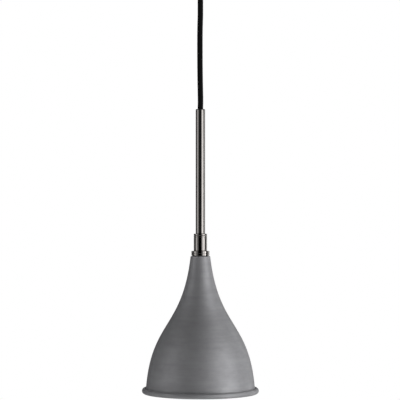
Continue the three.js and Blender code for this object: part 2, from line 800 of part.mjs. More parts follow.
for (const [name, side] of [['line', 1], ['neutral', -1]]) {
  const face = side * (postOffset + postSize.x / 2);
  const middle = postLow + postSize.z / 2;
  const outward = X.clone().multiplyScalar(side);
  const block = new THREE.BoxGeometry(postSize.x, postSize.y, postSize.z)
    .translate(side * postOffset, 0, middle);
  const hole = drill(postScrewSize.shankRadius + fit, postSize.x * 1.6, [face, 0, middle], outward);
  add(`terminal_post_${name}`, cut(block, hole), brass);
  add(`post_screw_${name}`, drive(screw(postScrewSize), [face + side * seat, 0, middle], outward), zinc);
  add(`holder_wire_${name}`, tube([
    [side * 1.7, 0, sheathEnd - flexGap],
    [side * 1.7, 0, sheathEnd - 1.4],
    [side * (postOffset - 1), 0, postLow + postSize.z + 2],
    [side * (postOffset - 0.8), 0, postLow + postSize.z + flexGap],
  ], conductorRadius, 8, 8), name === 'line' ? brownSleeve : blueSleeve);
}

const tagWireY = tagReach - tagThickness - seat - conductorRadius;
add('holder_wire_earth', tube([
  [0, 2.1, sheathEnd - flexGap],
  [0, 2.3, sheathEnd - 1.8],
  [0, (2.1 + tagWireY) / 2, sheathEnd - 3],
  [0, tagWireY - 0.2, sheathEnd - 2],
  [0, tagWireY, sheathEnd],
  [0, tagWireY, sheathEnd + 1.2],
], conductorRadius, 8, 12), earthSleeve);

const stripThickness = 0.4;
const stripTop = coreBottom - seat;

// A spring strip: flat on the core, bowed down to the lamp's tip.
function centreContact() {
  const low = lampTip + 0.2;
  const upper = [[-8, stripTop], [-4, stripTop], [-1.5, low + stripThickness], [1.6, low + stripThickness]];
  const lower = [[1.6, low], [-1.8, low], [-4.3, stripTop - stripThickness], [-8, stripTop - stripThickness]];
  return alongY([...upper, ...lower], 4);
}

function sideContact() {
  const outer = skirtBoreRadius - 0.5;
  return alongY([
    [5, stripTop], [outer, stripTop], [outer, screwShellTop + seat],
    [outer - stripThickness, screwShellTop + seat],
    [outer - stripThickness, stripTop - stripThickness], [5, stripTop - stripThickness],
  ], 3);
}

add('centre_contact', centreContact(), brass);
add('side_contact', sideContact(), brass);

// The rounded thread of a screw cap, as rings: a zigzag of [radius, z] points.
function threadRings(crest, root, top, turns) {
  return Array.from({ length: turns * 2 + 1 }, (_, i) =>
    [i % 2 ? crest : root, top - (i * threadPitch) / 2]);
}

function screwShell() {
  const turns = 5;
  const inside = threadRings(shellCrest, shellRoot, screwShellTop, turns);
  const outside = threadRings(shellCrest + shellWall, shellRoot + shellWall, screwShellTop, turns);
  return turned([...inside, ...outside.reverse()], smallSegments);
}

add('screw_shell', screwShell(), nickel);

// ---------------------------------------------------------------------- lamp

function lampShell() {
  const root = lampThreadRadius - threadDepth;
  const thread = threadRings(lampThreadRadius, root, lampShellTop - 0.6, lampThreadTurns);
  return turned([
    [lampNeckRadius + lampNeckRoom, lampShellTop], [root, lampShellTop],
    ...thread, [lampThreadRadius - 0.1, lampShellBottom + 0.6],
    [lampThreadRadius, lampShellBottom], [lampNeckRadius + lampNeckRoom, lampShellBottom],
  ], smallSegments);
}

function bulbGlass() {
  const shoulder = lampShellBottom - 1;
  const meeting = 42;
  const meet = [
    bulbRadius * Math.cos(THREE.MathUtils.degToRad(meeting)),
    bulbCentre + bulbRadius * Math.sin(THREE.MathUtils.degToRad(meeting)),
  ];
  const flare = new THREE.CubicBezierCurve(
    new THREE.Vector2(lampThreadRadius, shoulder),
    new THREE.Vector2(lampThreadRadius + 0.4, shoulder - 7),
    new THREE.Vector2(meet[0] - 5, meet[1] + 5.6),
    new THREE.Vector2(...meet),
  ).getPoints(4).slice(0, -1).map((p) => [p.x, p.y]);
  const neckTop = lampShellBottom + 3.5;
  const outside = [
    [lampNeckRadius, neckTop], [lampNeckRadius, shoulder + 0.8], ...flare,
    ...bend(0, bulbCentre, bulbRadius, meeting, -90, 7),
  ];
  const inside = [
    ...bend(0, bulbCentre, bulbRadius - glassWall, -90, meeting, 6),
    ...flare.reverse().map(([r, z]) => [r - glassWall, z]),
    [lampNeckRadius - glassWall, shoulder + 0.8], [lampNeckRadius - glassWall, neckTop],
  ];
  outside.at(-1)[0] = 0;
  inside[0][0] = 0;
  return turned([...outside, ...inside], midSegments);
}

const stemTop = lampShellBottom + 2.5;
const stemBottom = bulbCentre + 11;

function glassStem() {
  return turned([
    [0, stemBottom], [2, stemBottom], [2.4, stemBottom + 1.5], [1.6, stemBottom + 3],
    [1.8, stemTop - 6], [lampNeckRadius - glassWall - 0.3, stemTop - 0.8],
    [lampNeckRadius - glassWall - 0.3, stemTop], [0, stemTop],
  ], screwSegments);
}

function filament() {
  const wire = 0.35;
  const spread = 9;
  const level = bulbCentre + 2;
  const start = stemBottom - seat;
  return tube([
    [-1, 0, start], [-3, 0, (start + level) / 2], [-spread, 0, level],
    [-spread * 0.5, 3, level - 1], [0, 4, level], [spread * 0.5, 3, level - 1],
    [spread, 0, level], [3, 0, (start + level) / 2], [1, 0, start],
  ], wire, 6, 32);
}

const insulatorRadius = lampThreadRadius - 0.75;

add('lamp_contact', turned([
  [0, lampTip - contactHeight], [2.4, lampTip - contactHeight],
  [2.4, lampTip - 0.8], [1.2, lampTip], [0, lampTip],
], screwSegments), nickel);
add('lamp_insulator', turned([
  [0, insulatorTop - insulatorHeight], [insulatorRadius, insulatorTop - insulatorHeight],
  [insulatorRadius - 0.6, insulatorTop - insulatorHeight * 0.4],
  [insulatorRadius - 2.8, insulatorTop], [0, insulatorTop],
], smallSegments), blackPlastic);
add('lamp_shell', lampShell(), nickel);
add('bulb_glass', bulbGlass(), opalGlass);
add('bulb_stem', glassStem(), clearGlass);
add('filament', filament(), tungsten);

export default light;
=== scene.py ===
# %% [markdown]
# # A pendant ceiling light
#
# This lesson dresses a finished model of a hanging light. The solids, their
# places and their joints are already settled in the frame that the first cell
# loads, so here every piece is made again finely, around the same axis, and
# given its finish: a spun metal shade in chalky grey paint, a rod and turned
# fittings in black nickel, a braided flex, and the working parts out of sight.

# %% Load the frame
import json
import math

import bmesh
import bpy
from mathutils import Matrix, Vector, geometry


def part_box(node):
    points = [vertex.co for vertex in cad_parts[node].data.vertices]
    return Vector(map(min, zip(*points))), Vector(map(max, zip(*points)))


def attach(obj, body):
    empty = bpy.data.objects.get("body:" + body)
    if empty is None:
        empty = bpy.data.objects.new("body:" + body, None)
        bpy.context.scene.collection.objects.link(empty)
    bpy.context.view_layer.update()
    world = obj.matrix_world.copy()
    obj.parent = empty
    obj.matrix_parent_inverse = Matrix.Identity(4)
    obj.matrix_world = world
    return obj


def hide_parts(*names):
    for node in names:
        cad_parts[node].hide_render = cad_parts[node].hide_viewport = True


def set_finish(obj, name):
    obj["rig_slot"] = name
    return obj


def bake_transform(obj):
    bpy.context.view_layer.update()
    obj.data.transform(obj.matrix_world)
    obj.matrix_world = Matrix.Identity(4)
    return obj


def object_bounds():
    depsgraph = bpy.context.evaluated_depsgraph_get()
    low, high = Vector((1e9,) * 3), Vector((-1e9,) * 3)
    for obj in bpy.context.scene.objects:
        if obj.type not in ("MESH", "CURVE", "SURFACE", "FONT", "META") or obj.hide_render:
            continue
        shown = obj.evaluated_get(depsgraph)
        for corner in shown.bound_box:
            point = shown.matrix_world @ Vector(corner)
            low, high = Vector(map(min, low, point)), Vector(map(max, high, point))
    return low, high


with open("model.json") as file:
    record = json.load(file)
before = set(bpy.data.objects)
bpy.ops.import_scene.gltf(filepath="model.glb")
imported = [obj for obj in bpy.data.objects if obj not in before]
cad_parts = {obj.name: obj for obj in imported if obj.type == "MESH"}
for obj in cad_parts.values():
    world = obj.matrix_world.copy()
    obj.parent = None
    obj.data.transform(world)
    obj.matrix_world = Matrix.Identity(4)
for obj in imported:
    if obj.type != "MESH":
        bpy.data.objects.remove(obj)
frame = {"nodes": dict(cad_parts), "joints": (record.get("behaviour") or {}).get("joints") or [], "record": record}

cad_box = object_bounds()
print("pieces in the frame:", len(frame["nodes"]))
print("lowest and highest corner:", [tuple(round(c, 4) for c in corner) for corner in cad_box])

# %% [markdown]
# Every size comes from the frame. A round piece of this light turns about the
# one upright axis at x = 0, y = 0, so three numbers say most of what a new
# piece needs: how far it reaches from the axis, and its lowest and highest
# level. Small helpers read them, and a millimetre is kept as a unit by name.

# %% Sizes from the frame
MM = 0.001


def levels(node):
    low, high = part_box(node)
    return low.z, high.z


def reach(node):
    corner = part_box(node)[1]
    return max(corner.x, corner.y)


def pivot_level(name):
    return next(j["pos_m"][2] for j in frame["joints"] if j["name"] == name)


light_bottom, light_top = cad_box[0].z, cad_box[1].z
print(f"the light hangs {(light_top - light_bottom) / MM:.0f} mm below the ceiling")

# %% [markdown]
# A camera comes first, because how much of the flex is seen depends on it. A
# hanging light is pictured with a long lens from some way off, so that its
# rod and shade keep their upright edges, and level with the middle of what
# is seen, so that the rolled rim is looked at a little from above.

# %% Camera
VIEW_WIDTH = 513.6 * MM
CAMERA_DISTANCE = 2.34
CAMERA_LEVEL = -326.6 * MM
SENSOR = 36.0
AXIS_OFFSET = -0.5 * MM


def add_object(name, data):
    made = bpy.data.objects.new(name, data)
    bpy.context.scene.collection.objects.link(made)
    return made


camera_data = bpy.data.cameras.new("camera")
camera_data.sensor_width = SENSOR
camera_data.lens = SENSOR * CAMERA_DISTANCE / VIEW_WIDTH
camera = add_object("camera", camera_data)
camera.location = (AXIS_OFFSET, -CAMERA_DISTANCE, CAMERA_LEVEL)
camera.rotation_euler = (math.radians(90), 0, 0)
bpy.context.scene.camera = camera
print(f"lens {camera_data.lens:.0f} mm, {CAMERA_DISTANCE} m from the light")

# %% [markdown]
# Short helpers finish every piece in the same way. One puts a bmesh into an
# object. One shades it smooth with its real corners kept crisp, and tells the
# frame which body carries it, which solids it stands for and which finish it
# takes. One breaks sharp edges, as a maker's file or a lathe does: an edge
# that catches a thin line of light looks real, and a perfect one never does.

# %% Finishing a piece
CRISP = math.radians(35)
BEVEL_STEPS, BEVEL_ROUNDNESS = 2, 0.5
made_pieces = []


def from_bmesh(name, bm):
    mesh = bpy.data.meshes.new(name)
    bm.to_mesh(mesh)
    bm.free()
    return add_object(name, mesh)


def finish_piece(name, bm, body, nodes, slot_name, crisp=CRISP):
    for face in bm.faces:
        face.smooth = True
    piece = from_bmesh(name, bm)
    piece.data.set_sharp_from_angle(angle=crisp)
    if body:
        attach(piece, body)
    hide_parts(*nodes)
    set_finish(piece, slot_name)
    made_pieces.append(piece)
    print(f"{name}: {len(piece.data.polygons)} faces")
    return piece


def break_edges(bm, width, sharper=30):
    """Bevels every edge that turns by more than so many degrees."""
    sharp = [e for e in bm.edges if e.is_manifold and e.calc_face_angle() > math.radians(sharper)]
    bmesh.ops.bevel(bm, geom=sharp, offset=width, segments=BEVEL_STEPS, affect="EDGES",
                    profile=BEVEL_ROUNDNESS, material=-1, clamp_overlap=True)


# %% [markdown]
# ## The flex
#
# The flex is a round cable of three conductors under a sleeve braided from
# black yarn. Twelve bundles run round it one way and twelve the other way,
# each passing over one and under the next. The sleeve could be a bump on a
# smooth tube, but its little bundles are as thick as a grain of rice and
# they show along the edge, so a fine tube is made and its surface is moved
# in and out by the pattern of the braid. The same two counts, one for each
# direction, go into its UV map, so the finish can follow the yarn. The flex
# also keeps a slight set from its box, given as points: how many millimetres
# it stands aside, at which share of the way down.

# %% Flex: route and braid
FLEX_RADIUS = reach("flex_top")
GRIP_END = levels("grip_body")[0]
SWING_LEVEL = pivot_level("cord_swing")
TILT_LEVEL = pivot_level("rod_tilt")
BUNDLES = 12
BRAID_PITCH = 2 * math.pi * FLEX_RADIUS / BUNDLES
BRAID_RELIEF = 0.16 * MM
BUNDLE_REST, BUNDLE_RISE = 0.55, 0.45
FLEX_SIDES = 96
FLEX_STEP = 0.35 * MM
FLEX_BOW = [
    (0, 0), (-0.1, 0.04), (-0.25, 0.08), (-0.4, 0.13), (-0.5, 0.18), (-0.57, 0.24),
    (-0.6, 0.3), (-0.6, 0.38), (-0.58, 0.46), (-0.52, 0.54), (-0.44, 0.61), (-0.33, 0.68),
    (-0.2, 0.75), (-0.05, 0.81), (0.06, 0.86), (0.14, 0.9), (0.15, 0.94), (0.1, 0.97), (0, 1),
]
STRAIGHT_END = 0.15 * MM
BOW_TOP = SWING_LEVEL - FLEX_RADIUS - STRAIGHT_END
BOW_BOTTOM = TILT_LEVEL + FLEX_RADIUS + STRAIGHT_END


def bow(level):
    """How far the hanging flex stands aside at a level, on a smooth line through its points."""
    share = (BOW_TOP - level) / (BOW_TOP - BOW_BOTTOM)
    if not 0 < share < 1:
        return 0.0
    i = max(k for k, (_, at) in enumerate(FLEX_BOW) if at <= share)
    before, here, there, after = (FLEX_BOW[min(max(i + k, 0), len(FLEX_BOW) - 1)]
                                  for k in (-1, 0, 1, 2))
    t = (share - here[1]) / (there[1] - here[1])
    slope_here = (there[0] - before[0]) / (there[1] - before[1] or 1)
    slope_there = (after[0] - here[0]) / (after[1] - here[1] or 1)
    gap = there[1] - here[1]
    return MM * ((2 * t**3 - 3 * t**2 + 1) * here[0] + (t**3 - 2 * t**2 + t) * gap * slope_here
                 + (3 * t**2 - 2 * t**3) * there[0] + (t**3 - t**2) * gap * slope_there)


def braid_height(turn, run):
    """The braid's relief, 0 to 1, at a turn round the flex and a run along it."""
    one, other = turn * BUNDLES + run / BRAID_PITCH, turn * BUNDLES - run / BRAID_PITCH
    over, along = (one, other) if (math.floor(one) + math.floor(other)) % 2 else (other, one)
    across = 2 * (over % 1) - 1
    length = 2 * (along % 1) - 1
    rise = BUNDLE_REST + BUNDLE_RISE * math.cos(length * math.pi / 2)
    return math.sqrt(max(0, 1 - across**4)) * rise


def braided_flex(top, bottom):
    """A closed tube of braid along the flex's route, from a level down to another."""
    bm = bmesh.new()
    bmesh.ops.create_cone(bm, cap_ends=True, segments=FLEX_SIDES, radius1=FLEX_RADIUS,
                          radius2=FLEX_RADIUS, depth=top - bottom)
    bmesh.ops.translate(bm, verts=bm.verts, vec=(0, 0, (top + bottom) / 2))
    upright = [e for e in bm.edges if abs(e.verts[0].co.z - e.verts[1].co.z) > FLEX_STEP]
    bmesh.ops.subdivide_edges(bm, edges=upright, cuts=round((top - bottom) / FLEX_STEP) - 1,
                              use_grid_fill=True)
    uv = bm.loops.layers.uv.new("braid")
    for face in bm.faces:
        turns = [math.atan2(c.vert.co.y, c.vert.co.x) / (2 * math.pi) for c in face.loops]
        for corner, turn in zip(face.loops, turns):
            wrapped = turn + 1 if max(turns) - turn > 0.5 else turn
            corner[uv].uv = (wrapped, (GRIP_END - corner.vert.co.z) / BRAID_PITCH)
    for v in bm.verts:
        turn = math.atan2(v.co.y, v.co.x) / (2 * math.pi)
        height = braid_height(turn, GRIP_END - v.co.z)
        out = 1 + BRAID_RELIEF * (height - 0.5) / FLEX_RADIUS
        v.co = (v.co.x * out + bow(v.co.z), v.co.y * out, v.co.z)
    return bm


# %% [markdown]
# The flex is three pieces. The free one runs from the grip down to the tilt
# axis, and is carried by no body.
# One short piece stays held in the grip and the strain relief, and one is
# inside the rod. It starts a little below the tilt axis, so that the two ends
# don't cut into each other when the rod tilts.

# %% Flex: three pieces
FLEX_CRISP = math.radians(60)
END_GAP = 0.2 * MM
TILT_ROOM = 1.7 * MM


def flex_piece(name, top, bottom, body, *nodes):
    return finish_piece(name, braided_flex(top, bottom), body, nodes, "textile", crisp=FLEX_CRISP)


free_flex = flex_piece("flex_free_braid", GRIP_END, TILT_LEVEL + END_GAP, None, "flex_top", "flex_free")
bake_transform(free_flex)

flex_piece("flex_held_braid", levels("flex_in_canopy")[1], GRIP_END + 0.1 * MM, "ceiling", "flex_in_canopy")
flex_piece("flex_rod_braid", TILT_LEVEL - TILT_ROOM, levels("flex_in_rod")[0], "pendant", "flex_in_rod")

# %% [markdown]
# ## Turned and spun pieces
#
# Most of this light is made by turning: the rod and the fittings on a lathe,
# the shade by pressing a spinning disc over a form. In Blender the matching
# tool is spin: half of the piece's section is drawn as a loop of points, a
# distance from the axis and a level each, and swept a full turn. An edge of
# the loop that lies on the axis is left out, since it would sweep no surface.
# Most sections are written as short lists of steps in millimetres outward
# and upward from one of the piece's own corners.

# %% Turning
FINE_TURN = 160
MID_TURN = 96
SMALL_TURN = 48
SAME_POINT = 1e-7


def turned(section, steps=MID_TURN):
    bm = bmesh.new()
    points = [bm.verts.new((r, 0, z)) for r, z in section]
    pairs = zip(points, points[1:] + points[:1])
    line = [bm.edges.new(pair) for pair in pairs if pair[0].co.x + pair[1].co.x > 0]
    bmesh.ops.spin(bm, geom=points + line, axis=(0, 0, 1), cent=(0, 0, 0),
                   steps=steps, angle=2 * math.pi, use_merge=True)
    bmesh.ops.remove_doubles(bm, verts=bm.verts, dist=SAME_POINT)
    bmesh.ops.recalc_face_normals(bm, faces=bm.faces)
    return bm


def arc(r, z, radius, start, end, steps):
    """Points of a section on an arc, from one angle to another in degrees."""
    angles = [math.radians(start + (end - start) * i / steps) for i in range(steps + 1)]
    return [(r + radius * math.cos(a), z + radius * math.sin(a)) for a in angles]


def offsets(r, z, *steps):
    """Points of a section, each so many millimetres outward and upward from one place."""
    return [(r + outward * MM, z + upward * MM) for outward, upward in steps]


def ring_section(inner, outer, low, high):
    return [(inner, low), (outer, low), (outer, high), (inner, high)]


def from_axis(point):
    return math.hypot(point.x, point.y)


# %% [markdown]
# ## The shade
#
# The shade is one disc of soft metal, a millimetre thick, spun into a
# trumpet: a flat seat at the top with a small round shoulder, a narrow neck
# that sweeps out into a full belly, and a wall that is nearly upright where
# it meets the rim. The edge is rolled outward into a round bead, which stiffens
# it and hides the raw edge. Its side is a single curve with one handle at
# the neck and one at the rim, the way the form it was pressed over is drawn,
# and the end of the roll stops just short of the wall, so a fine dark line
# runs round above the bead.

# %% Shade: its side
SHADE_WALL = 1.0 * MM
SHOULDER = 1.0 * MM
RIM_ROLL, ROLL_HEIGHT = 6.2 * MM, 7.0 * MM
HEM_INSET = 4.8 * MM
NECK_LEAN, HEM_LEAN = 11 * MM, 6.4 * MM
NECK_SWEEP, HEM_SWEEP = 0.544, 0.524
SIDE_POINTS = 72
FLANGE_REACH = reach("flange")
NECK = FLANGE_REACH + 1.25 * MM
SPOUT_HOLE = 5.15 * MM

shade_bottom, shade_top = levels("shade")
rim_reach = reach("shade")
rim_level = shade_bottom + ROLL_HEIGHT / 2
hem = rim_reach - HEM_INSET
side_top = shade_top - SHOULDER
side_height = side_top - rim_level
side = geometry.interpolate_bezier(
    Vector((NECK, side_top)), Vector((NECK + NECK_LEAN, side_top - side_height * NECK_SWEEP)),
    Vector((hem - HEM_LEAN, rim_level + side_height * HEM_SWEEP)), Vector((hem, rim_level)),
    SIDE_POINTS)
side = [Vector(p[:2]) for p in side]


def inward(points, depth):
    """The same line, a wall's thickness towards the axis."""
    moved = []
    for i, point in enumerate(points):
        along = (points[min(i + 1, len(points) - 1)] - points[max(i - 1, 0)]).normalized()
        moved.append(point + Vector((along.y, -along.x)) * depth)
    return moved


# %% [markdown]
# The bead starts at its lip, goes over the outside and comes back under to
# the wall. Between the lip and the wall is a narrow slot, too deep for light
# to reach its foot, and that is the dark line.

# %% Shade: rolled rim and whole section
LIP_ANGLE = 104
BEAD_POINTS, SHOULDER_POINTS = 30, 6
SLOT_WIDTH, SLOT_DEPTH, SLOT_MOUTH = 0.85 * MM, 2.4 * MM, 0.4 * MM
LIP_ROOM, FOOT_STEP = 0.1 * MM, 0.05 * MM

bead = [(r, rim_level + (z - rim_level) * ROLL_HEIGHT / RIM_ROLL)
        for r, z in arc(rim_reach - RIM_ROLL / 2, rim_level, RIM_ROLL / 2, LIP_ANGLE, -180, BEAD_POINTS)]
lip_level = bead[0][1]
outside = [p for p in side if p.y > lip_level + LIP_ROOM]
wall_foot = outside[-1].x + FOOT_STEP
slot = [(wall_foot, lip_level - SLOT_DEPTH), (wall_foot + SLOT_WIDTH, lip_level - SLOT_DEPTH),
        (wall_foot + SLOT_WIDTH, lip_level - SLOT_MOUTH)]
seat_under = shade_top - SHADE_WALL
inside = [p for p in inward(side, SHADE_WALL) if rim_level + 0.2 * MM < p.y < seat_under - 0.3 * MM]
shade_section = (
    [(SPOUT_HOLE, shade_top)]
    + arc(NECK - SHOULDER, side_top, SHOULDER, 90, 8, SHOULDER_POINTS)
    + [tuple(p) for p in outside[1:]] + slot + bead + [tuple(p) for p in reversed(inside)]
    + [(NECK - SHOULDER - 0.2 * MM, seat_under), (SPOUT_HOLE, seat_under)]
)
finish_piece("shade_spun", turned(shade_section, FINE_TURN), "pendant", ["shade"], "grey_powder")
print(f"shade {2 * rim_reach / MM:.0f} mm across, {(shade_top - shade_bottom) / MM:.0f} mm high")

# %% [markdown]
# ## Rod and fittings
#
# The rod is a thin drawn tube, open at its top, where a dark bush with a
# rounded lip lets the flex tilt without chafing. Its foot is held in a lock
# ring with a fine groove, and in the collar under it. A wider flange and a
# gallery washer press a rubber washer onto the shade. All are rings, so each
# is a short section, turned, with its edges broken.

# %% Rod, bush, lock ring, collar, flange and washers
ROD_WALL = 0.8 * MM
BUSH_FLARE = 1.2 * MM
GROOVE = 0.5 * MM
rod_reach = reach("rod")
collar_reach = reach("collar")
rod_hole = rod_reach + 0.15 * MM


def fitting(name, section, slot_name, edge):
    """Turns a section and breaks its edges, for the solid that the piece is named after."""
    bm = turned(section)
    break_edges(bm, edge * MM)
    finish_piece(name, bm, "pendant", [name.rsplit("_", 1)[0]], slot_name)


fitting("rod_tube", ring_section(rod_reach - ROD_WALL, rod_reach, *levels("rod")), "black_nickel", 0.15)

low, high = levels("mouth_bush")
bush_bore = FLEX_RADIUS + 0.5 * MM
bush_side = rod_reach - ROD_WALL - 0.15 * MM
fitting("mouth_bush_lip", [(bush_bore, low), (bush_side, low)] + offsets(bush_side, high, (0, -0.8))
        + offsets(rod_reach, high, (-0.2, -0.8), (-0.2, -0.3), (-0.5, 0))
        + arc(FLEX_RADIUS + 1.9 * MM, high - BUSH_FLARE, BUSH_FLARE, 90, 180, 8)
        + offsets(bush_bore, high, (0, -4)), "black_plastic", 0.06)

low, high = levels("lock_ring")
middle = (low + high) / 2
fitting("lock_ring_turned", [
    (rod_hole, low), (collar_reach, low), (collar_reach, middle - GROOVE),
    (collar_reach - GROOVE, middle), (collar_reach, middle + GROOVE), (collar_reach, high),
    (rod_hole, high)], "black_nickel", 0.12)

low, high = levels("collar")
rod_seat = levels("rod")[0] - 0.1 * MM
fitting("collar_turned", [
    (SPOUT_HOLE, low), (collar_reach, low), (collar_reach, high), (rod_hole, high),
    (rod_hole, rod_seat), (SPOUT_HOLE, rod_seat)], "black_nickel", 0.25)

for node, ending, outer, slot_name, edge in (
        ("flange", "_turned", FLANGE_REACH, "black_nickel", 0.28),
        ("gallery_washer", "_turned", FLANGE_REACH, "black_nickel", 0.28),
        ("rubber_washer", "_ring", reach("rubber_washer"), "rubber", 0.2)):
    fitting(node + ending, ring_section(SPOUT_HOLE, outer, *levels(node)), slot_name, edge)

# %% [markdown]
# ## Copies with their edges broken
#
# The plates, straps, nuts and blocks are cut or bent from flat stock, and the
# frame's own solids already have their outline and holes. Each could be drawn
# again, but a copy is quicker and fits exactly: its loose triangles are merged,
# flat faces are joined, and the sharp edges are broken. The round plate gets
# more points on its outline as well. Which body carries a piece, and which
# finish it takes, is written in the frame's record.

# %% Softened copies of flat pieces
BODY_OF = {node: body for body, nodes in frame["record"]["behaviour"]["bodies"].items()
           for node in nodes}
SLOT_OF = {part["node"]: part["material_slot"] for part in frame["record"]["subparts"]}
WELD, COPLANAR = 0.002 * MM, math.radians(1)
FLAT_CRISP = math.radians(21)
EDGE_WIDTHS = {
    "clamp_bracket": 0.2, "clamp_saddle": 0.2, "terminal_block": 0.3, "grip_nut": 0.25,
    "star_washer": 0.08, "nipple_nut": 0.3, "cap_nut": 0.25, "earth_tag": 0.1,
    "terminal_post_line": 0.25, "terminal_post_neutral": 0.25, "centre_contact": 0.05,
    "side_contact": 0.05,
}


def merged_copy(node):
    bm = bmesh.new()
    bm.from_mesh(frame["nodes"][node].data)
    bmesh.ops.remove_doubles(bm, verts=bm.verts, dist=WELD)
    bmesh.ops.dissolve_limit(bm, angle_limit=COPLANAR, verts=bm.verts, edges=bm.edges)
    return bm


def finish_node(node, ending, bm, crisp=CRISP):
    """Finishes a piece that stands for one solid, with that solid's body and finish."""
    return finish_piece(node + ending, bm, BODY_OF[node], [node], SLOT_OF[node], crisp)


def round_outline(bm, radius, cuts, corner_slack=0.02 * MM, side_slack=0.5 * MM):
    """Splits the sides of a coarse round outline and moves the new points out to its radius."""
    def on_outline(v, slack):
        return abs(from_axis(v.co) - radius) < slack
    sides = [e for e in bm.edges if all(on_outline(v, corner_slack) for v in e.verts)
             and abs(e.verts[0].co.z - e.verts[1].co.z) < 0.01 * MM]
    bmesh.ops.subdivide_edges(bm, edges=sides, cuts=cuts)
    for v in bm.verts:
        if on_outline(v, side_slack):
            out = radius / from_axis(v.co)
            v.co.x, v.co.y = v.co.x * out, v.co.y * out


plate = merged_copy("ceiling_plate")
round_outline(plate, reach("ceiling_plate"), 4)
break_edges(plate, 0.25 * MM)
finish_node("ceiling_plate", "_cut", plate, crisp=FLAT_CRISP)

for node, width in EDGE_WIDTHS.items():
    softened = merged_copy(node)
    break_edges(softened, width * MM)
    finish_node(node, "_cut", softened, crisp=FLAT_CRISP)

# %% [markdown]
# ## Screws
#
# The small screws are one shape in several sizes: a domed head with a slot
# sawn across it, on a round shank, or a shank alone. A blank is turned, a thin
# block is taken out of its top by a Boolean, and the screw is turned to face
# the way its solid does. The Boolean is the plain way to saw a slot, because
# its two ends have to be open. The two tables give each screw's radius and
# rise of head, radius and length of shank, all in millimetres, and which way
# it faces. A headless screw has only the last three.

# %% Slotted screws
SAW_LENGTH, SAW_WIDTH, SAW_DEPTH = 3, 0.3, 0.7
HEADED = {
    "earth_screw": (3.3, 2, 2, 1.3, (0, 0, -1)), "grip_screw": (3, 4.9, 2, 4.2, (1, 0, 0)),
    "clamp_screw_left": (2.6, 1.6, 1.5, 8.4, (0, 1, 0)),
    "clamp_screw_right": (2.6, 1.6, 1.5, 8.4, (0, 1, 0)),
    "post_screw_line": (1.9, 1.3, 1.3, 3.4, (1, 0, 0)),
    "post_screw_neutral": (1.9, 1.3, 1.3, 3.4, (-1, 0, 0)),
}
HEADLESS = {"collar_grub_screw": (1.85, 2.15, (0, 1, 0)), "cap_screw": (1.3, 2.2, (1, 0, 0))}
HEADLESS.update({f"terminal_screw_{i}": (1.7, 4.2, (0, 0, -1)) for i in range(1, 7)})


def sawn(bm, cutter):
    """Takes the cutter's shape out of a bmesh, with Blender's exact Boolean."""
    blank, tool = from_bmesh("blank", bm), from_bmesh("cutter", cutter)
    saw = blank.modifiers.new("saw", "BOOLEAN")
    saw.operation, saw.solver, saw.object = "DIFFERENCE", "EXACT", tool
    cut = bmesh.new()
    cut.from_object(blank, bpy.context.evaluated_depsgraph_get())
    for scrap in (blank, tool):
        bpy.data.objects.remove(scrap)
    return cut


def slotted_screw(head, rise, shank, length):
    """A screw along Z, with its head's underside at zero. A head of no rise makes a grub screw."""
    if rise:
        section = [(0, -length), (shank * 0.8, -length), (shank, -length + shank * 0.3), (shank, 0),
                   (head, 0), (head, rise * 0.55), (head * 0.85, rise * 0.85), (head * 0.45, rise),
                   (0, rise)]
    else:
        section = [(0, -length), (shank * 0.6, -length), (shank, -length + shank * 0.5),
                   (shank, 0), (0, 0)]
    block = bmesh.new()
    bmesh.ops.create_cube(block, size=1)
    wide = max(head, shank)
    bmesh.ops.scale(block, verts=block.verts,
                    vec=(SAW_LENGTH * wide, SAW_WIDTH * wide, SAW_DEPTH * wide))
    bmesh.ops.translate(block, verts=block.verts, vec=(0, 0, rise))
    return sawn(turned(section, SMALL_TURN), block)


def drive(bm, node, facing):
    """Turns a screw to face a direction and puts its outer end level with its solid's."""
    facing = Vector(facing)
    low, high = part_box(node)
    turn = Vector((0, 0, 1)).rotation_difference(facing).to_matrix()
    bmesh.ops.rotate(bm, verts=bm.verts, matrix=turn)
    outer = max(v.co.dot(facing) for v in bm.verts)
    middle = (low + high) / 2
    end = max(low.dot(facing), high.dot(facing))
    bmesh.ops.translate(bm, verts=bm.verts, vec=middle + facing * (end - middle.dot(facing) - outer))
    finish_node(node, "_sawn", bm, crisp=math.radians(30))


for node, (head, rise, shank, length, facing) in HEADED.items():
    drive(slotted_screw(head * MM, rise * MM, shank * MM, length * MM), node, facing)
for node, (shank, length, facing) in HEADLESS.items():
    drive(slotted_screw(0, 0, shank * MM, length * MM), node, facing)

# %% [markdown]
# ## Wires
#
# Inside the canopy and the lampholder the flex ends in three thin wires, each
# in a coloured sleeve. The solids are eight-sided tubes along the right
# routes, so a merged copy with a subdivision surface makes them round. The
# surface pulls its corners in by a tenth, so the copy is swollen first. The
# lamp's filament is made in the same way.

# %% Rounded wires
SWELLS = {
    "wire_line": 0.09, "wire_neutral": 0.09, "wire_earth": 0.1, "holder_wire_line": 0.08,
    "holder_wire_neutral": 0.08, "holder_wire_earth": 0.08, "filament": 0.04,
}
ROUNDING_LEVELS = 2
for node, swell in SWELLS.items():
    wire = merged_copy(node)
    wire.normal_update()
    for v in wire.verts:
        v.co += v.normal * swell * MM
    piece = finish_node(node, "_bent" if node == "filament" else "_sleeve", wire, crisp=math.radians(80))
    surface = piece.modifiers.new("round", "SUBSURF")
    surface.levels = surface.render_levels = ROUNDING_LEVELS

# %% [markdown]
# ## Threads
#
# Four pieces carry a thread. The all-thread tube and, further on, the neck of
# the canopy's grip have a fine sharp one. The lamp's cap and the shell that
# takes it have the wide rounded thread of a small lamp. A turned tube with
# many rings becomes a screw when each point is moved in or out by how far it
# is along the helix, a full wave for each turn. The wave fades out near the
# ends, as it does where a die runs off.

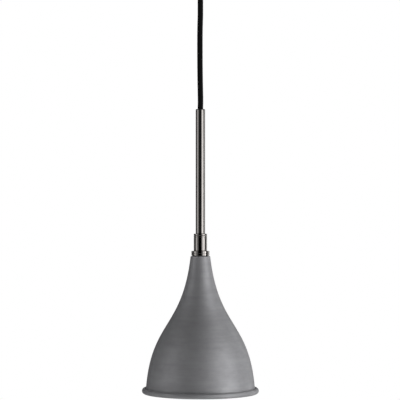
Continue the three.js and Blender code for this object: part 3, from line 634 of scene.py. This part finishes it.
# %% Threaded pieces
FINE_PITCH, FINE_RUN_OUT = 1 * MM, 0.6 * MM
NIPPLE_WALL, NIPPLE_DEPTH = 1 * MM, 0.55 * MM
NIPPLE_RINGS, NIPPLE_SIDES = 376, 40
LAMP_PITCH, LAMP_DEPTH, LAMP_RUN_OUT = 2.822 * MM, 0.55 * MM, 1.6 * MM
LAMP_RINGS, LAMP_SIDES = 90, 72
SHELL_WALL = 0.4 * MM


def threaded(section, steps, pitch, depth, low, high, run_out, sharp, moves):
    """A turned section whose points, where `moves` says so, follow a helix."""
    bm = turned(section, steps)
    for v in bm.verts:
        if moves(v.co):
            turn = math.atan2(v.co.y, v.co.x) / (2 * math.pi)
            wave = math.cos(2 * math.pi * ((v.co.z - low) / pitch - turn))
            wave = 2 * math.asin(wave) / math.pi if sharp else wave
            fade = min(1, max(0, min(v.co.z - low, high - v.co.z) / run_out))
            out = 1 - fade * depth * (1 - wave) / 2 / from_axis(v.co)
            v.co.x, v.co.y = v.co.x * out, v.co.y * out
    bm.normal_update()
    return bm


def stacked(r, low, high, count):
    return [(r, low + (high - low) * i / count) for i in range(count + 1)]


low, high = levels("nipple")
nipple_reach = reach("nipple")
nipple_bore = nipple_reach - NIPPLE_WALL
finish_node("nipple", "_threaded", threaded(
    [(nipple_bore, low)] + stacked(nipple_reach, low, high, NIPPLE_RINGS) + [(nipple_bore, high)],
    NIPPLE_SIDES, FINE_PITCH, NIPPLE_DEPTH, low, high, FINE_RUN_OUT, True,
    lambda co: from_axis(co) > nipple_reach - 0.1 * MM))

low, high = levels("lamp_shell")
shell_reach = reach("lamp_shell")
glass_neck = 6.05 * MM
first, last = low + 0.5 * MM, high - 0.4 * MM
finish_node("lamp_shell", "_rolled", threaded(
    [(glass_neck, low), (shell_reach, low)] + stacked(shell_reach, first, last, LAMP_RINGS)
    + [(shell_reach - LAMP_DEPTH, high), (glass_neck, high)],
    LAMP_SIDES, LAMP_PITCH, LAMP_DEPTH, first, last, LAMP_RUN_OUT, False,
    lambda co: from_axis(co) > shell_reach - 0.05 * MM and low + 0.4 * MM < co.z < high - 0.3 * MM))

low, high = levels("screw_shell")
socket_reach = reach("screw_shell")
past_its_ends = 9 * MM
finish_node("screw_shell", "_rolled", threaded(
    stacked(socket_reach - SHELL_WALL, low, high, LAMP_RINGS)
    + stacked(socket_reach, high, low, LAMP_RINGS),
    LAMP_SIDES, LAMP_PITCH, LAMP_DEPTH, low - past_its_ends, high + past_its_ends, 1 * MM, False,
    lambda co: True))

# %% [markdown]
# ## Lampholder
#
# The lampholder is a small screw holder moulded in black plastic: a cap with
# a rounded shoulder that hangs from the tube, and a skirt that screws onto
# it. Fine upright ribs all round the skirt are for the fingers. They are moved
# into its surface in waves, and fade out at both ends. A white core inside
# carries the contacts.

# %% Cap of the lampholder
CAP_NECK, CAP_ROOF, CAP_WALL = 7.5 * MM, 9.6 * MM, 1.8 * MM
SHOULDER_HEIGHT, SHOULDER_STEPS = 8.5 * MM, 14
low, high = levels("holder_cap")
cap_reach = reach("holder_cap")
cap_inside = cap_reach - CAP_WALL
shoulder_top, roof = high - 7 * MM, high - 10 * MM
cap_shoulder = [(CAP_NECK + (cap_reach - CAP_NECK) * math.sin(a * math.pi / (2 * SHOULDER_STEPS)),
                 shoulder_top - SHOULDER_HEIGHT * a / SHOULDER_STEPS)
                for a in range(SHOULDER_STEPS + 1)]
cap = turned([(SPOUT_HOLE, high), (CAP_NECK, high)] + cap_shoulder
             + offsets(cap_reach, low, (0, 1.6), (-0.25, 1.4), (-0.25, 1.1), (0, 0.9), (0, 0))
             + [(cap_inside, low)] + offsets(cap_inside, roof, (0, -7), (-1.5, -2))
             + [(CAP_ROOF, roof), (SPOUT_HOLE, roof)])
break_edges(cap, 0.15 * MM, sharper=40)
finish_node("holder_cap", "_moulded", cap)

# %% Ribbed skirt
RIBS, RIB_POINTS, RIB_DEPTH, RIB_FADE = 36, 8, 0.35 * MM, 2 * MM
SKIRT_STEPS = 24
low, high = levels("holder_skirt")
skirt_reach = reach("holder_skirt")
skirt_tip = skirt_reach - 0.8 * MM
bore = skirt_reach - 5.5 * MM
spigot = skirt_reach - 1.95 * MM
skirt_top = high - 3 * MM
floor_level = skirt_top - 13 * MM
rib_low, rib_high = low + 2 * MM, skirt_top - 9 * MM
skirt_side = [(skirt_tip + (skirt_reach - skirt_tip) * i / SKIRT_STEPS,
               rib_low + (rib_high - rib_low) * i / SKIRT_STEPS) for i in range(SKIRT_STEPS + 1)]
skirt = turned([(bore, low)] + offsets(skirt_tip, low, (-0.8, 0), (-0.2, 0.3), (0, 0.9)) + skirt_side
               + offsets(skirt_reach, skirt_top, (0, -7.5), (0, -0.3), (-0.3, 0))
               + [(spigot, skirt_top)] + offsets(spigot, high, (0, 0), (-1, 0))
               + offsets(spigot, floor_level, (-1, 1.5)) + [(bore, floor_level)], RIBS * RIB_POINTS)
for v in skirt.verts:
    out = from_axis(v.co)
    if out > skirt_tip - 0.01 * MM and rib_low <= v.co.z <= rib_high:
        fade = min(1, (v.co.z - rib_low) / RIB_FADE, (rib_high - v.co.z) / RIB_FADE)
        rib = 0.5 - 0.5 * math.cos(math.atan2(v.co.y, v.co.x) * RIBS)
        v.co.x, v.co.y = (c * (1 - fade * RIB_DEPTH * rib**2 / out) for c in v.co.xy)
skirt.normal_update()
finish_node("holder_skirt", "_moulded", skirt)

# %% White core
low, high = levels("holder_core")
core_reach = reach("holder_core")
core = turned(offsets(0, low, (2, 0), (4, 0), (4.2, 0.4))
              + offsets(core_reach, low, (-1.5, 0.4), (-0.4, 0), (0, 0.4))
              + offsets(core_reach, high, (0, -0.4), (-0.4, 0)) + offsets(0, high, (2, 0)))
break_edges(core, 0.12 * MM)
finish_node("holder_core", "_moulded", core)

# %% [markdown]
# ## Lamp
#
# The lamp is a small round opal bulb, blown in one piece with the neck that
# is cemented into its cap. Its section is two arcs joined by an easy curve,
# as soft glass settles, and a second line inside gives the glass its wall.
# The cap ends in black glass and a bead of solder.

# %% Bulb
GLASS_WALL = 0.9 * MM
BULB_REACH, NECK_REACH = 22.5 * MM, 5.7 * MM
BULB_SHOULDER = 42
BOWL_STEPS, FLARE_POINTS = 40, 20
low, high = levels("bulb_glass")
bulb_centre = low + BULB_REACH
cap_foot = levels("lamp_shell")[0]
neck_foot = cap_foot - 0.4 * MM
join_reach = BULB_REACH * math.cos(math.radians(BULB_SHOULDER))
join_level = bulb_centre + BULB_REACH * math.sin(math.radians(BULB_SHOULDER))
flare = geometry.interpolate_bezier(
    Vector((6.95 * MM, cap_foot - 1 * MM)), Vector((7.35 * MM, cap_foot - 8 * MM)),
    Vector((join_reach - 5 * MM, join_level + 5.6 * MM)), Vector((join_reach, join_level)),
    FLARE_POINTS)
flare = [tuple(p)[:2] for p in flare[:-1]]
bowl = arc(0, bulb_centre, BULB_REACH, BULB_SHOULDER, -90, BOWL_STEPS)
bowl[-1] = (0, bowl[-1][1])
inner_bowl = arc(0, bulb_centre, BULB_REACH - GLASS_WALL, -90, BULB_SHOULDER, BOWL_STEPS)
inner_bowl[0] = (0, inner_bowl[0][1])
glass_line = ([(NECK_REACH, high), (NECK_REACH, neck_foot)] + flare + bowl
              + inner_bowl + [(r - GLASS_WALL, z) for r, z in reversed(flare)]
              + [(NECK_REACH - GLASS_WALL, neck_foot), (NECK_REACH - GLASS_WALL, high)])
finish_node("bulb_glass", "_blown", turned(glass_line, FINE_TURN))

# %% Stem, insulator and contact
low, high = levels("bulb_stem")
stem_reach = NECK_REACH - GLASS_WALL - 0.3 * MM
stem = turned(offsets(0, low, (0, 0), (1.6, 0), (2, 0.4), (2.3, 1.5), (1.7, 3))
              + offsets(0, high, (1.8, -6)) + offsets(stem_reach, high, (-1, -1.4), (0, -0.8), (0, 0))
              + [(0, high)], SMALL_TURN)
break_edges(stem, 0.3 * MM, sharper=20)
finish_node("bulb_stem", "_drawn", stem)

low, high = levels("lamp_insulator")
insulator_reach = reach("lamp_insulator")
insulator = turned([(0, low)] + offsets(insulator_reach, low, (0, 0), (-0.2, 0.5), (-0.6, 1.7), (-1.6, 2.6))
                   + offsets(insulator_reach, high, (-2.8, 0)) + [(0, high)], SMALL_TURN)
break_edges(insulator, 0.15 * MM, sharper=25)
finish_node("lamp_insulator", "_pressed", insulator)

BEAD_SHARES = ((1, 0), (1, 0.5), (0.88, 0.95), (0.6, 1.25))
low, high = levels("lamp_contact")
contact_reach = reach("lamp_contact")
solder = turned([(0, low)] + [(contact_reach * share, low + up * MM) for share, up in BEAD_SHARES]
                + [(contact_reach * 0.3, high), (0, high)], SMALL_TURN)
finish_node("lamp_contact", "_soldered", solder, crisp=math.radians(50))

# %% [markdown]
# ## Canopy
#
# The canopy is a shallow pressed cup that hides the ceiling plate. It hangs on
# a small turned grip: a threaded neck and a nut hold the cup, and a slotted
# screw at the side bites the flex. The cup's open edge is eased by a hair, so
# that it doesn't look like cut sheet.

# %% Canopy cup
CUP_WALL, CUP_CORNER = 1 * MM, 5 * MM
low, high = levels("canopy_cup")
cup_reach = reach("canopy_cup")
corner_reach, corner_level = cup_reach - CUP_CORNER, low + CUP_CORNER
cup = turned([(SPOUT_HOLE, low)] + arc(corner_reach, corner_level, CUP_CORNER, -90, 0, 12)
             + offsets(cup_reach, high, (0, -0.4), (-0.3, 0)) + [(cup_reach - CUP_WALL, high)]
             + arc(corner_reach, corner_level, CUP_CORNER - CUP_WALL, 0, -90, 10)
             + [(SPOUT_HOLE, low + CUP_WALL)], FINE_TURN)
break_edges(cup, 0.2 * MM)
finish_node("canopy_cup", "_pressed", cup)

# %% Grip
GRIP_NECK, GRIP_TIP, GRIP_DEPTH = 5 * MM, 4.8 * MM, 0.5 * MM
GRIP_RINGS, GRIP_SIDES = 40, 72
SCREW_HOLE, SCREW_HOLE_LENGTH = 2.15 * MM, 8 * MM
low, high = levels("grip_body")
grip_reach = reach("grip_body")
grip_bore = FLEX_RADIUS + 0.7 * MM
grip_top = levels("canopy_cup")[0] - 0.1 * MM
first = grip_top + 0.4 * MM
grip = threaded(
    offsets(grip_bore, low, (0, 1.2), (0.4, 0.3), (1.2, 0))
    + offsets(grip_reach, low, (-1, 0), (-0.3, 0.3), (0, 1), (0, 2.4), (-0.35, 2.6), (-0.35, 3), (0, 3.2))
    + offsets(grip_reach, grip_top, (0, -0.3), (-0.3, 0)) + [(GRIP_NECK, grip_top)]
    + stacked(GRIP_NECK, first, high - 0.2 * MM, GRIP_RINGS) + [(GRIP_TIP, high), (grip_bore, high)],
    GRIP_SIDES, FINE_PITCH, GRIP_DEPTH, first, high, FINE_RUN_OUT, True,
    lambda co: from_axis(co) > GRIP_NECK - 0.1 * MM and co.z > grip_top + 0.3 * MM)
screw_hole = bmesh.new()
bmesh.ops.create_cone(screw_hole, cap_ends=True, segments=SMALL_TURN, radius1=SCREW_HOLE,
                      radius2=SCREW_HOLE, depth=SCREW_HOLE_LENGTH)
bmesh.ops.rotate(screw_hole, verts=screw_hole.verts, matrix=Matrix.Rotation(math.pi / 2, 3, "Y"))
bmesh.ops.translate(screw_hole, verts=screw_hole.verts, vec=(grip_reach, 0, (grip_top + low) / 2))
finish_node("grip_body", "_turned", sawn(grip, screw_hole))

# %% [markdown]
# ## Finishes
#
# Each finish is a shader of its own, and what several of them share, such as
# fine grain or the marks of the lathe, is a node group that is placed in each
# with its own values. One helper adds a node and fills its sockets, and one
# dresses a shader in its colour, roughness and relief, so that the cells below
# read like a list of what is mixed into what.

# %% Nodes and materials
SLOT_MATERIALS = {}


def add_node(tree, kind, inputs=(), **options):
    made = tree.nodes.new("ShaderNode" + kind)
    for name, value in options.items():
        setattr(made, name, value)
    for key, value in dict(inputs).items():
        socket = made.inputs[key]
        if isinstance(value, bpy.types.NodeSocket):
            tree.links.new(value, socket)
        else:
            socket.default_value = value
    return made


def maths(tree, operation, *values):
    return add_node(tree, "Math", dict(enumerate(values)), operation=operation).outputs[0]


def mixed(tree, factor, first, second):
    made = add_node(tree, "Mix", {0: factor, 6: first, 7: second}, data_type="RGBA")
    return made.outputs[2]


def mapped(tree, value, low, high, to_low, to_high):
    made = add_node(tree, "MapRange", {0: value, 1: low, 2: high, 3: to_low, 4: to_high})
    return made.outputs[0]


def object_place(tree):
    return tree.nodes.new("ShaderNodeTexCoord").outputs["Object"]


def new_group(name, inputs, output):
    group = bpy.data.node_groups.new(name, "ShaderNodeTree")
    for socket, value in inputs.items():
        made = group.interface.new_socket(socket, in_out="INPUT", socket_type="NodeSocketFloat")
        made.default_value = value
    group.interface.new_socket(output, in_out="OUTPUT", socket_type="NodeSocketFloat")
    return group, group.nodes.new("NodeGroupInput"), group.nodes.new("NodeGroupOutput")


def new_material(slot_name, metallic=0.0):
    material = bpy.data.materials.new("finish_" + slot_name)
    material.use_nodes = True
    SLOT_MATERIALS[slot_name] = material
    shader = material.node_tree.nodes["Principled BSDF"]
    shader.inputs["Metallic"].default_value = metallic
    return material.node_tree, shader


def dress(tree, shader, colour, roughness, height, distance, strength):
    """Links what a finish needs: its colour, its roughness and its relief, so many mm deep."""
    bump = add_node(tree, "Bump", {"Height": height, "Distance": distance * MM, "Strength": strength})
    for socket, value in (("Base Color", colour), ("Roughness", roughness), ("Normal", bump.outputs[0])):
        tree.links.new(value, shader.inputs[socket])


def grey(value, tint=(1, 1, 1)):
    return tuple(value * t for t in tint) + (1,)


# %% [markdown]
# Three effects are shared. Grain is two sizes of fine noise, as in powder
# paint or moulded plastic. Turning marks are rings that a tool leaves: noise
# that changes with the distance from the axis and with the level, and hardly
# at all round the piece. Clouding is a slow change over a few centimetres, as
# in a coat that was sprayed by hand or a surface that was wiped.

# %% Shared effects
FINE_SHARE, COARSE_SHARE, COARSE_SCALE = 0.6, 0.4, 0.31
grain, grain_in, grain_out = new_group("grain", {"Scale": 1500.0}, "Height")
place_at = object_place(grain)
fine = add_node(grain, "TexNoise", {"Vector": place_at, "Detail": 3.0, "Roughness": 0.6})
grain.links.new(grain_in.outputs["Scale"], fine.inputs["Scale"])
coarse = add_node(grain, "TexNoise", {"Vector": place_at, "Detail": 1.0})
grain.links.new(maths(grain, "MULTIPLY", grain_in.outputs["Scale"], COARSE_SCALE), coarse.inputs["Scale"])
grain.links.new(maths(grain, "ADD", maths(grain, "MULTIPLY", fine.outputs[0], FINE_SHARE),
                      maths(grain, "MULTIPLY", coarse.outputs[0], COARSE_SHARE)), grain_out.inputs["Height"])

ROUND_THE_PIECE = 0.002
marks, marks_in, marks_out = new_group("turning_marks", {"Rings per mm": 3.0}, "Height")
parts = add_node(marks, "SeparateXYZ", {0: object_place(marks)})
distance_out = maths(marks, "SQRT", maths(
    marks, "ADD", maths(marks, "MULTIPLY", parts.outputs[0], parts.outputs[0]),
    maths(marks, "MULTIPLY", parts.outputs[1], parts.outputs[1])))
down_and_out = add_node(marks, "CombineXYZ", {
    0: distance_out, 1: parts.outputs[2], 2: maths(marks, "MULTIPLY", parts.outputs[0], ROUND_THE_PIECE)})
lines = add_node(marks, "TexNoise", {"Vector": down_and_out.outputs[0], "Detail": 4.0, "Roughness": 0.7})
marks.links.new(maths(marks, "MULTIPLY", marks_in.outputs["Rings per mm"], 1 / MM), lines.inputs["Scale"])
marks.links.new(lines.outputs[0], marks_out.inputs["Height"])

clouds, clouds_in, clouds_out = new_group("clouding", {"Size cm": 3.0, "Stretch": 1.0}, "Mask")
stretched = add_node(clouds, "VectorMath", {0: object_place(clouds)}, operation="MULTIPLY")
up_scale = add_node(clouds, "CombineXYZ", {0: 1.0, 1: 1.0})
clouds.links.new(clouds_in.outputs["Stretch"], up_scale.inputs[2])
clouds.links.new(up_scale.outputs[0], stretched.inputs[1])
cloud = add_node(clouds, "TexNoise", {"Vector": stretched.outputs[0], "Detail": 5.0, "Roughness": 0.62})
clouds.links.new(maths(clouds, "DIVIDE", 100.0, clouds_in.outputs["Size cm"]), cloud.inputs["Scale"])
clouds.links.new(mapped(clouds, cloud.outputs[0], 0.32, 0.68, 0.0, 1.0), clouds_out.inputs["Mask"])


def placed(tree, group, values):
    """Places a group with its own values and gives its one output."""
    made = tree.nodes.new("ShaderNodeGroup")
    made.node_tree = group
    for name, value in values.items():
        made.inputs[name].default_value = value
    return made.outputs[0]


def clouded(tree, size, stretch=1.0):
    return placed(tree, clouds, {"Size cm": size, "Stretch": stretch})


def grained(tree, scale):
    return placed(tree, grain, {"Scale": scale})


# %% [markdown]
# ## What is seen
#
# The shade's paint is a fine matt powder coat with a little metal in it. It
# is faintly mottled, and streaked round the piece by the spinning under it.
# The rod and its fittings are black nickel, a smoky mirror with the finest
# turning marks. The braid is dull yarn, and its fibres follow its own UV map.

# %% Grey powder paint
COOL = (1, 1, 1.04)
tree, shader = new_material("grey_powder", metallic=0.5)
mottle = clouded(tree, 2.2, 1.6)
streaks = clouded(tree, 6.0, 14.0)
tone = maths(tree, "ADD", maths(tree, "MULTIPLY", mottle, 0.6), maths(tree, "MULTIPLY", streaks, 0.4))
dress(tree, shader, mixed(tree, tone, grey(0.275, COOL), grey(0.345, COOL)),
      mapped(tree, tone, 0.0, 1.0, 0.62, 0.52), grained(tree, 2600.0), 0.05, 0.6)

# %% Black nickel
tree, shader = new_material("black_nickel", metallic=1.0)
smudge = clouded(tree, 1.2, 0.6)
dress(tree, shader, mixed(tree, smudge, grey(0.25, (1, 0.95, 0.91)), grey(0.28, (1, 0.95, 0.915))),
      mapped(tree, smudge, 0.0, 1.0, 0.07, 0.11), placed(tree, marks, {"Rings per mm": 3.0}), 0.001, 0.4)

# %% Braided yarn
tree, shader = new_material("textile")
run = add_node(tree, "UVMap", uv_map="braid").outputs[0]
fibre = add_node(tree, "TexNoise", {"Vector": run, "Scale": 90.0, "Detail": 3.0}).outputs[0]
shader.inputs["Specular IOR Level"].default_value = 0.12
shader.inputs["Sheen Weight"].default_value = 0.02
shader.inputs["Sheen Roughness"].default_value = 0.4
dress(tree, shader, mixed(tree, fibre, grey(0.002), grey(0.005)),
      mapped(tree, fibre, 0.3, 0.7, 0.75, 0.9), fibre, 0.05, 0.8)

# %% Dark plastic and rubber
for slot_name, value, rough, scale in (("black_plastic", 0.012, 0.42, 900.0), ("rubber", 0.01, 0.8, 1500.0)):
    tree, shader = new_material(slot_name)
    pores = grained(tree, scale)
    dress(tree, shader, mixed(tree, pores, grey(value), grey(value * 1.6)),
          mapped(tree, pores, 0.3, 0.7, rough - 0.06, rough + 0.06), pores, 0.02, 0.5)

# %% [markdown]
# ## Metals out of sight
#
# The plates and nuts are steel with a bright zinc coat, which grows in flat
# crystals a few millimetres wide. The tags, posts and tube are plain brass,
# a little tarnished, and the lamp's cap and its shell are plated with nickel.
# All three are one recipe: two tones are mixed, clouding dulls the shine in
# places, and grain breaks it up. On brass and nickel the clouding mixes the
# tones as well, and on zinc each crystal takes a mix of its own.

# %% Zinc, brass and nickel
CRYSTAL_SCALE = 420.0
METALS = {
    "zinc": ((0.52, 0.54, 0.57), (0.66, 0.68, 0.70), 0.38, 0.55, 700.0, 0.8),
    "brass": ((0.80, 0.58, 0.27), (0.60, 0.41, 0.18), 0.22, 0.38, 1400.0, 1.0),
    "nickel": ((0.72, 0.68, 0.63), (0.60, 0.56, 0.51), 0.14, 0.26, 1800.0, 1.0),
}
for slot_name, (first, second, smooth, rough, scale, metallic) in METALS.items():
    tree, shader = new_material(slot_name, metallic)
    tarnish = share = clouded(tree, 0.6)
    if slot_name == "zinc":
        crystals = add_node(tree, "TexVoronoi", {"Vector": object_place(tree), "Scale": CRYSTAL_SCALE})
        share = add_node(tree, "SeparateColor", {0: crystals.outputs["Color"]}).outputs[0]
    dress(tree, shader, mixed(tree, share, (*first, 1), (*second, 1)),
          mapped(tree, tarnish, 0.0, 1.0, smooth, rough), grained(tree, scale), 0.01, 0.5)

# %% [markdown]
# ## Insulation
#
# The terminal block and the holder's core are pale plastic and glazed china,
# both faintly mottled. Each wire has its own colour of sleeve: brown for
# line, blue for neutral, and green with yellow for earth, where the stripe
# runs round the wire in a slow spiral, made here with a wave across its run.

# %% Pale plastic and sleeves
tree, shader = new_material("white_plastic")
flow = clouded(tree, 0.8)
dress(tree, shader, mixed(tree, flow, (0.74, 0.73, 0.69, 1), (0.68, 0.67, 0.62, 1)),
      mapped(tree, flow, 0.0, 1.0, 0.28, 0.4), grained(tree, 1100.0), 0.01, 0.4)

SLEEVES = {
    "brown_sleeve": ((0.085, 0.028, 0.010), (0.065, 0.022, 0.009)),
    "blue_sleeve": ((0.010, 0.075, 0.32), (0.012, 0.06, 0.25)),
    "earth_sleeve": ((0.05, 0.22, 0.03), (0.62, 0.52, 0.03)),
}
for slot_name, (first, second) in SLEEVES.items():
    tree, shader = new_material(slot_name)
    if slot_name == "earth_sleeve":
        spiral = add_node(tree, "TexWave", {"Vector": object_place(tree), "Scale": 55.0, "Distortion": 0.4},
                          bands_direction="DIAGONAL").outputs[1]
        share = mapped(tree, spiral, 0.58, 0.66, 0.0, 1.0)
    else:
        share = clouded(tree, 0.5)
    skin = grained(tree, 1600.0)
    dress(tree, shader, mixed(tree, share, (*first, 1), (*second, 1)),
          mapped(tree, skin, 0.3, 0.7, 0.32, 0.46), skin, 0.01, 0.4)

# %% [markdown]
# ## Lamp
#
# Opal glass is white all through its wall: light goes in, scatters and comes
# out near by. Subsurface scattering says that, under a smooth glassy surface,
# with a very slight unevenness where the glass was blown. The stem is clear
# glass, and the filament bare tungsten.

# %% Opal glass, clear glass and tungsten
tree, shader = new_material("opal_glass")
haze = clouded(tree, 2.5, 0.8)
shader.inputs["Subsurface Weight"].default_value = 0.35
shader.inputs["Subsurface Radius"].default_value = (1.0, 0.95, 0.9)
shader.inputs["Subsurface Scale"].default_value = 3 * MM
dress(tree, shader, mixed(tree, haze, (0.86, 0.86, 0.84, 1), (0.82, 0.82, 0.80, 1)),
      mapped(tree, haze, 0.0, 1.0, 0.10, 0.17), haze, 0.05, 0.3)

tree, shader = new_material("clear_glass")
cords = clouded(tree, 0.4, 0.3)
shader.inputs["Transmission Weight"].default_value = 1.0
dress(tree, shader, mixed(tree, cords, grey(0.97), grey(0.92)),
      mapped(tree, cords, 0.0, 1.0, 0.01, 0.05), cords, 0.03, 0.3)

tree, shader = new_material("tungsten", metallic=1.0)
drawn = grained(tree, 3000.0)
dress(tree, shader, mixed(tree, drawn, grey(0.28), grey(0.42)),
      mapped(tree, drawn, 0.3, 0.7, 0.3, 0.5), drawn, 0.01, 0.4)
print("finishes:", ", ".join(SLOT_MATERIALS))

# %% Give every piece its finish
for piece in made_pieces:
    piece.data.materials.clear()
    piece.data.materials.append(SLOT_MATERIALS[piece["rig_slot"]])
still_shown = [node for node, solid in frame["nodes"].items() if not solid.hide_render]
print("solids with no piece of their own:", still_shown)

# %% [markdown]
# ## Light
#
# The light is pictured like a small product: against white, with tall white
# cloths round it and black between them. The broad cloths on the right give
# the shade its shape, the ones behind it light its edges, and the dark gap in
# front draws the black band down the middle of the rod. The world is white
# where the camera looks straight at it and black for every other ray, so
# that the background doesn't wash the metal out. Each cloth is listed by its
# direction and its width, in degrees seen from the light, and its watts.

# %% World and cloths
world = bpy.data.worlds.new("studio")
bpy.context.scene.world = world
world.use_nodes = True
tree = world.node_tree
tree.nodes.clear()
path = tree.nodes.new("ShaderNodeLightPath")
white = add_node(tree, "Background", {"Color": (1, 1, 1, 1), "Strength": 1.0})
unlit = add_node(tree, "Background", {"Color": (1, 1, 1, 1), "Strength": 0.0})
either = tree.nodes.new("ShaderNodeMixShader")
tree.links.new(path.outputs["Is Camera Ray"], either.inputs[0])
tree.links.new(unlit.outputs[0], either.inputs[1])
tree.links.new(white.outputs[0], either.inputs[2])
tree.links.new(either.outputs[0], tree.nodes.new("ShaderNodeOutputWorld").inputs[0])
bpy.context.scene.view_settings.view_transform = "Standard"


def soft_light(name, place, aim, width, height, power):
    data = bpy.data.lights.new(name, "AREA")
    data.shape = "RECTANGLE"
    data.size, data.size_y, data.energy = width, height, power
    lamp = add_object(name, data)
    lamp.location = place
    lamp.rotation_euler = (Vector(aim) - lamp.location).to_track_quat("-Z", "Y").to_euler()


CLOTH_DISTANCE, CLOTH_HEIGHT, CLOTH_LEVEL = 1.35, 2.2, -0.35
CLOTHS = {
    "left_back": (-115, 20, 1.3), "left": (-76, 20, 5.0), "left_front": (-54, 22, 2.0),
    "left_dim": (-36, 12, 0.35), "right_front": (27, 16, 1.6), "right": (50, 30, 10.8),
    "right_edge": (71, 12, 9.0), "right_back": (125, 20, 5.6),
}
OVERHEAD_PLACE, OVERHEAD_AIM, OVERHEAD_SIZE, OVERHEAD_POWER = (0, 1.0, 0.9), (0, 0, -0.42), 1.6, 7.0
for name, (azimuth, spread, power) in CLOTHS.items():
    turn = math.radians(azimuth)
    place = (CLOTH_DISTANCE * math.sin(turn), -CLOTH_DISTANCE * math.cos(turn), CLOTH_LEVEL)
    width = 2 * CLOTH_DISTANCE * math.tan(math.radians(spread) / 2)
    soft_light("cloth_" + name, place, (0, 0, CLOTH_LEVEL), width, CLOTH_HEIGHT, power)
soft_light("cloth_overhead", OVERHEAD_PLACE, OVERHEAD_AIM, OVERHEAD_SIZE, OVERHEAD_SIZE, OVERHEAD_POWER)
print("soft lights:", len(CLOTHS) + 1)

# %% [markdown]
# The floor is well below, as it is under a hanging light. It is a pale disc
# that glows a little, which stands for the light that a pale floor gives
# back and saves a lamp for it alone.

# %% Floor
FLOOR_DROP, FLOOR_RADIUS = 2.8, 4.5
FLOOR_GLOW, SEEN_GLOW = 0.5, 0.66
bm = bmesh.new()
bmesh.ops.create_circle(bm, cap_ends=True, segments=MID_TURN, radius=FLOOR_RADIUS)
bmesh.ops.translate(bm, verts=bm.verts, vec=(0, 0, light_bottom - FLOOR_DROP))
floor = from_bmesh("floor", bm)
floor_material = bpy.data.materials.new("pale_floor")
floor_material.use_nodes = True
tree = floor_material.node_tree
floor_shader = tree.nodes["Principled BSDF"]
floor_shader.inputs["Base Color"].default_value = grey(0.5)
floor_shader.inputs["Roughness"].default_value = 0.9
floor_shader.inputs["Emission Color"].default_value = (1, 1, 1, 1)
seen = tree.nodes.new("ShaderNodeLightPath").outputs["Is Camera Ray"]
tree.links.new(mapped(tree, seen, 0, 1, FLOOR_GLOW, SEEN_GLOW), floor_shader.inputs["Emission Strength"])
floor.data.materials.append(floor_material)

# %% Count the faces
print("faces in all:", sum(len(p.data.polygons) for p in made_pieces))
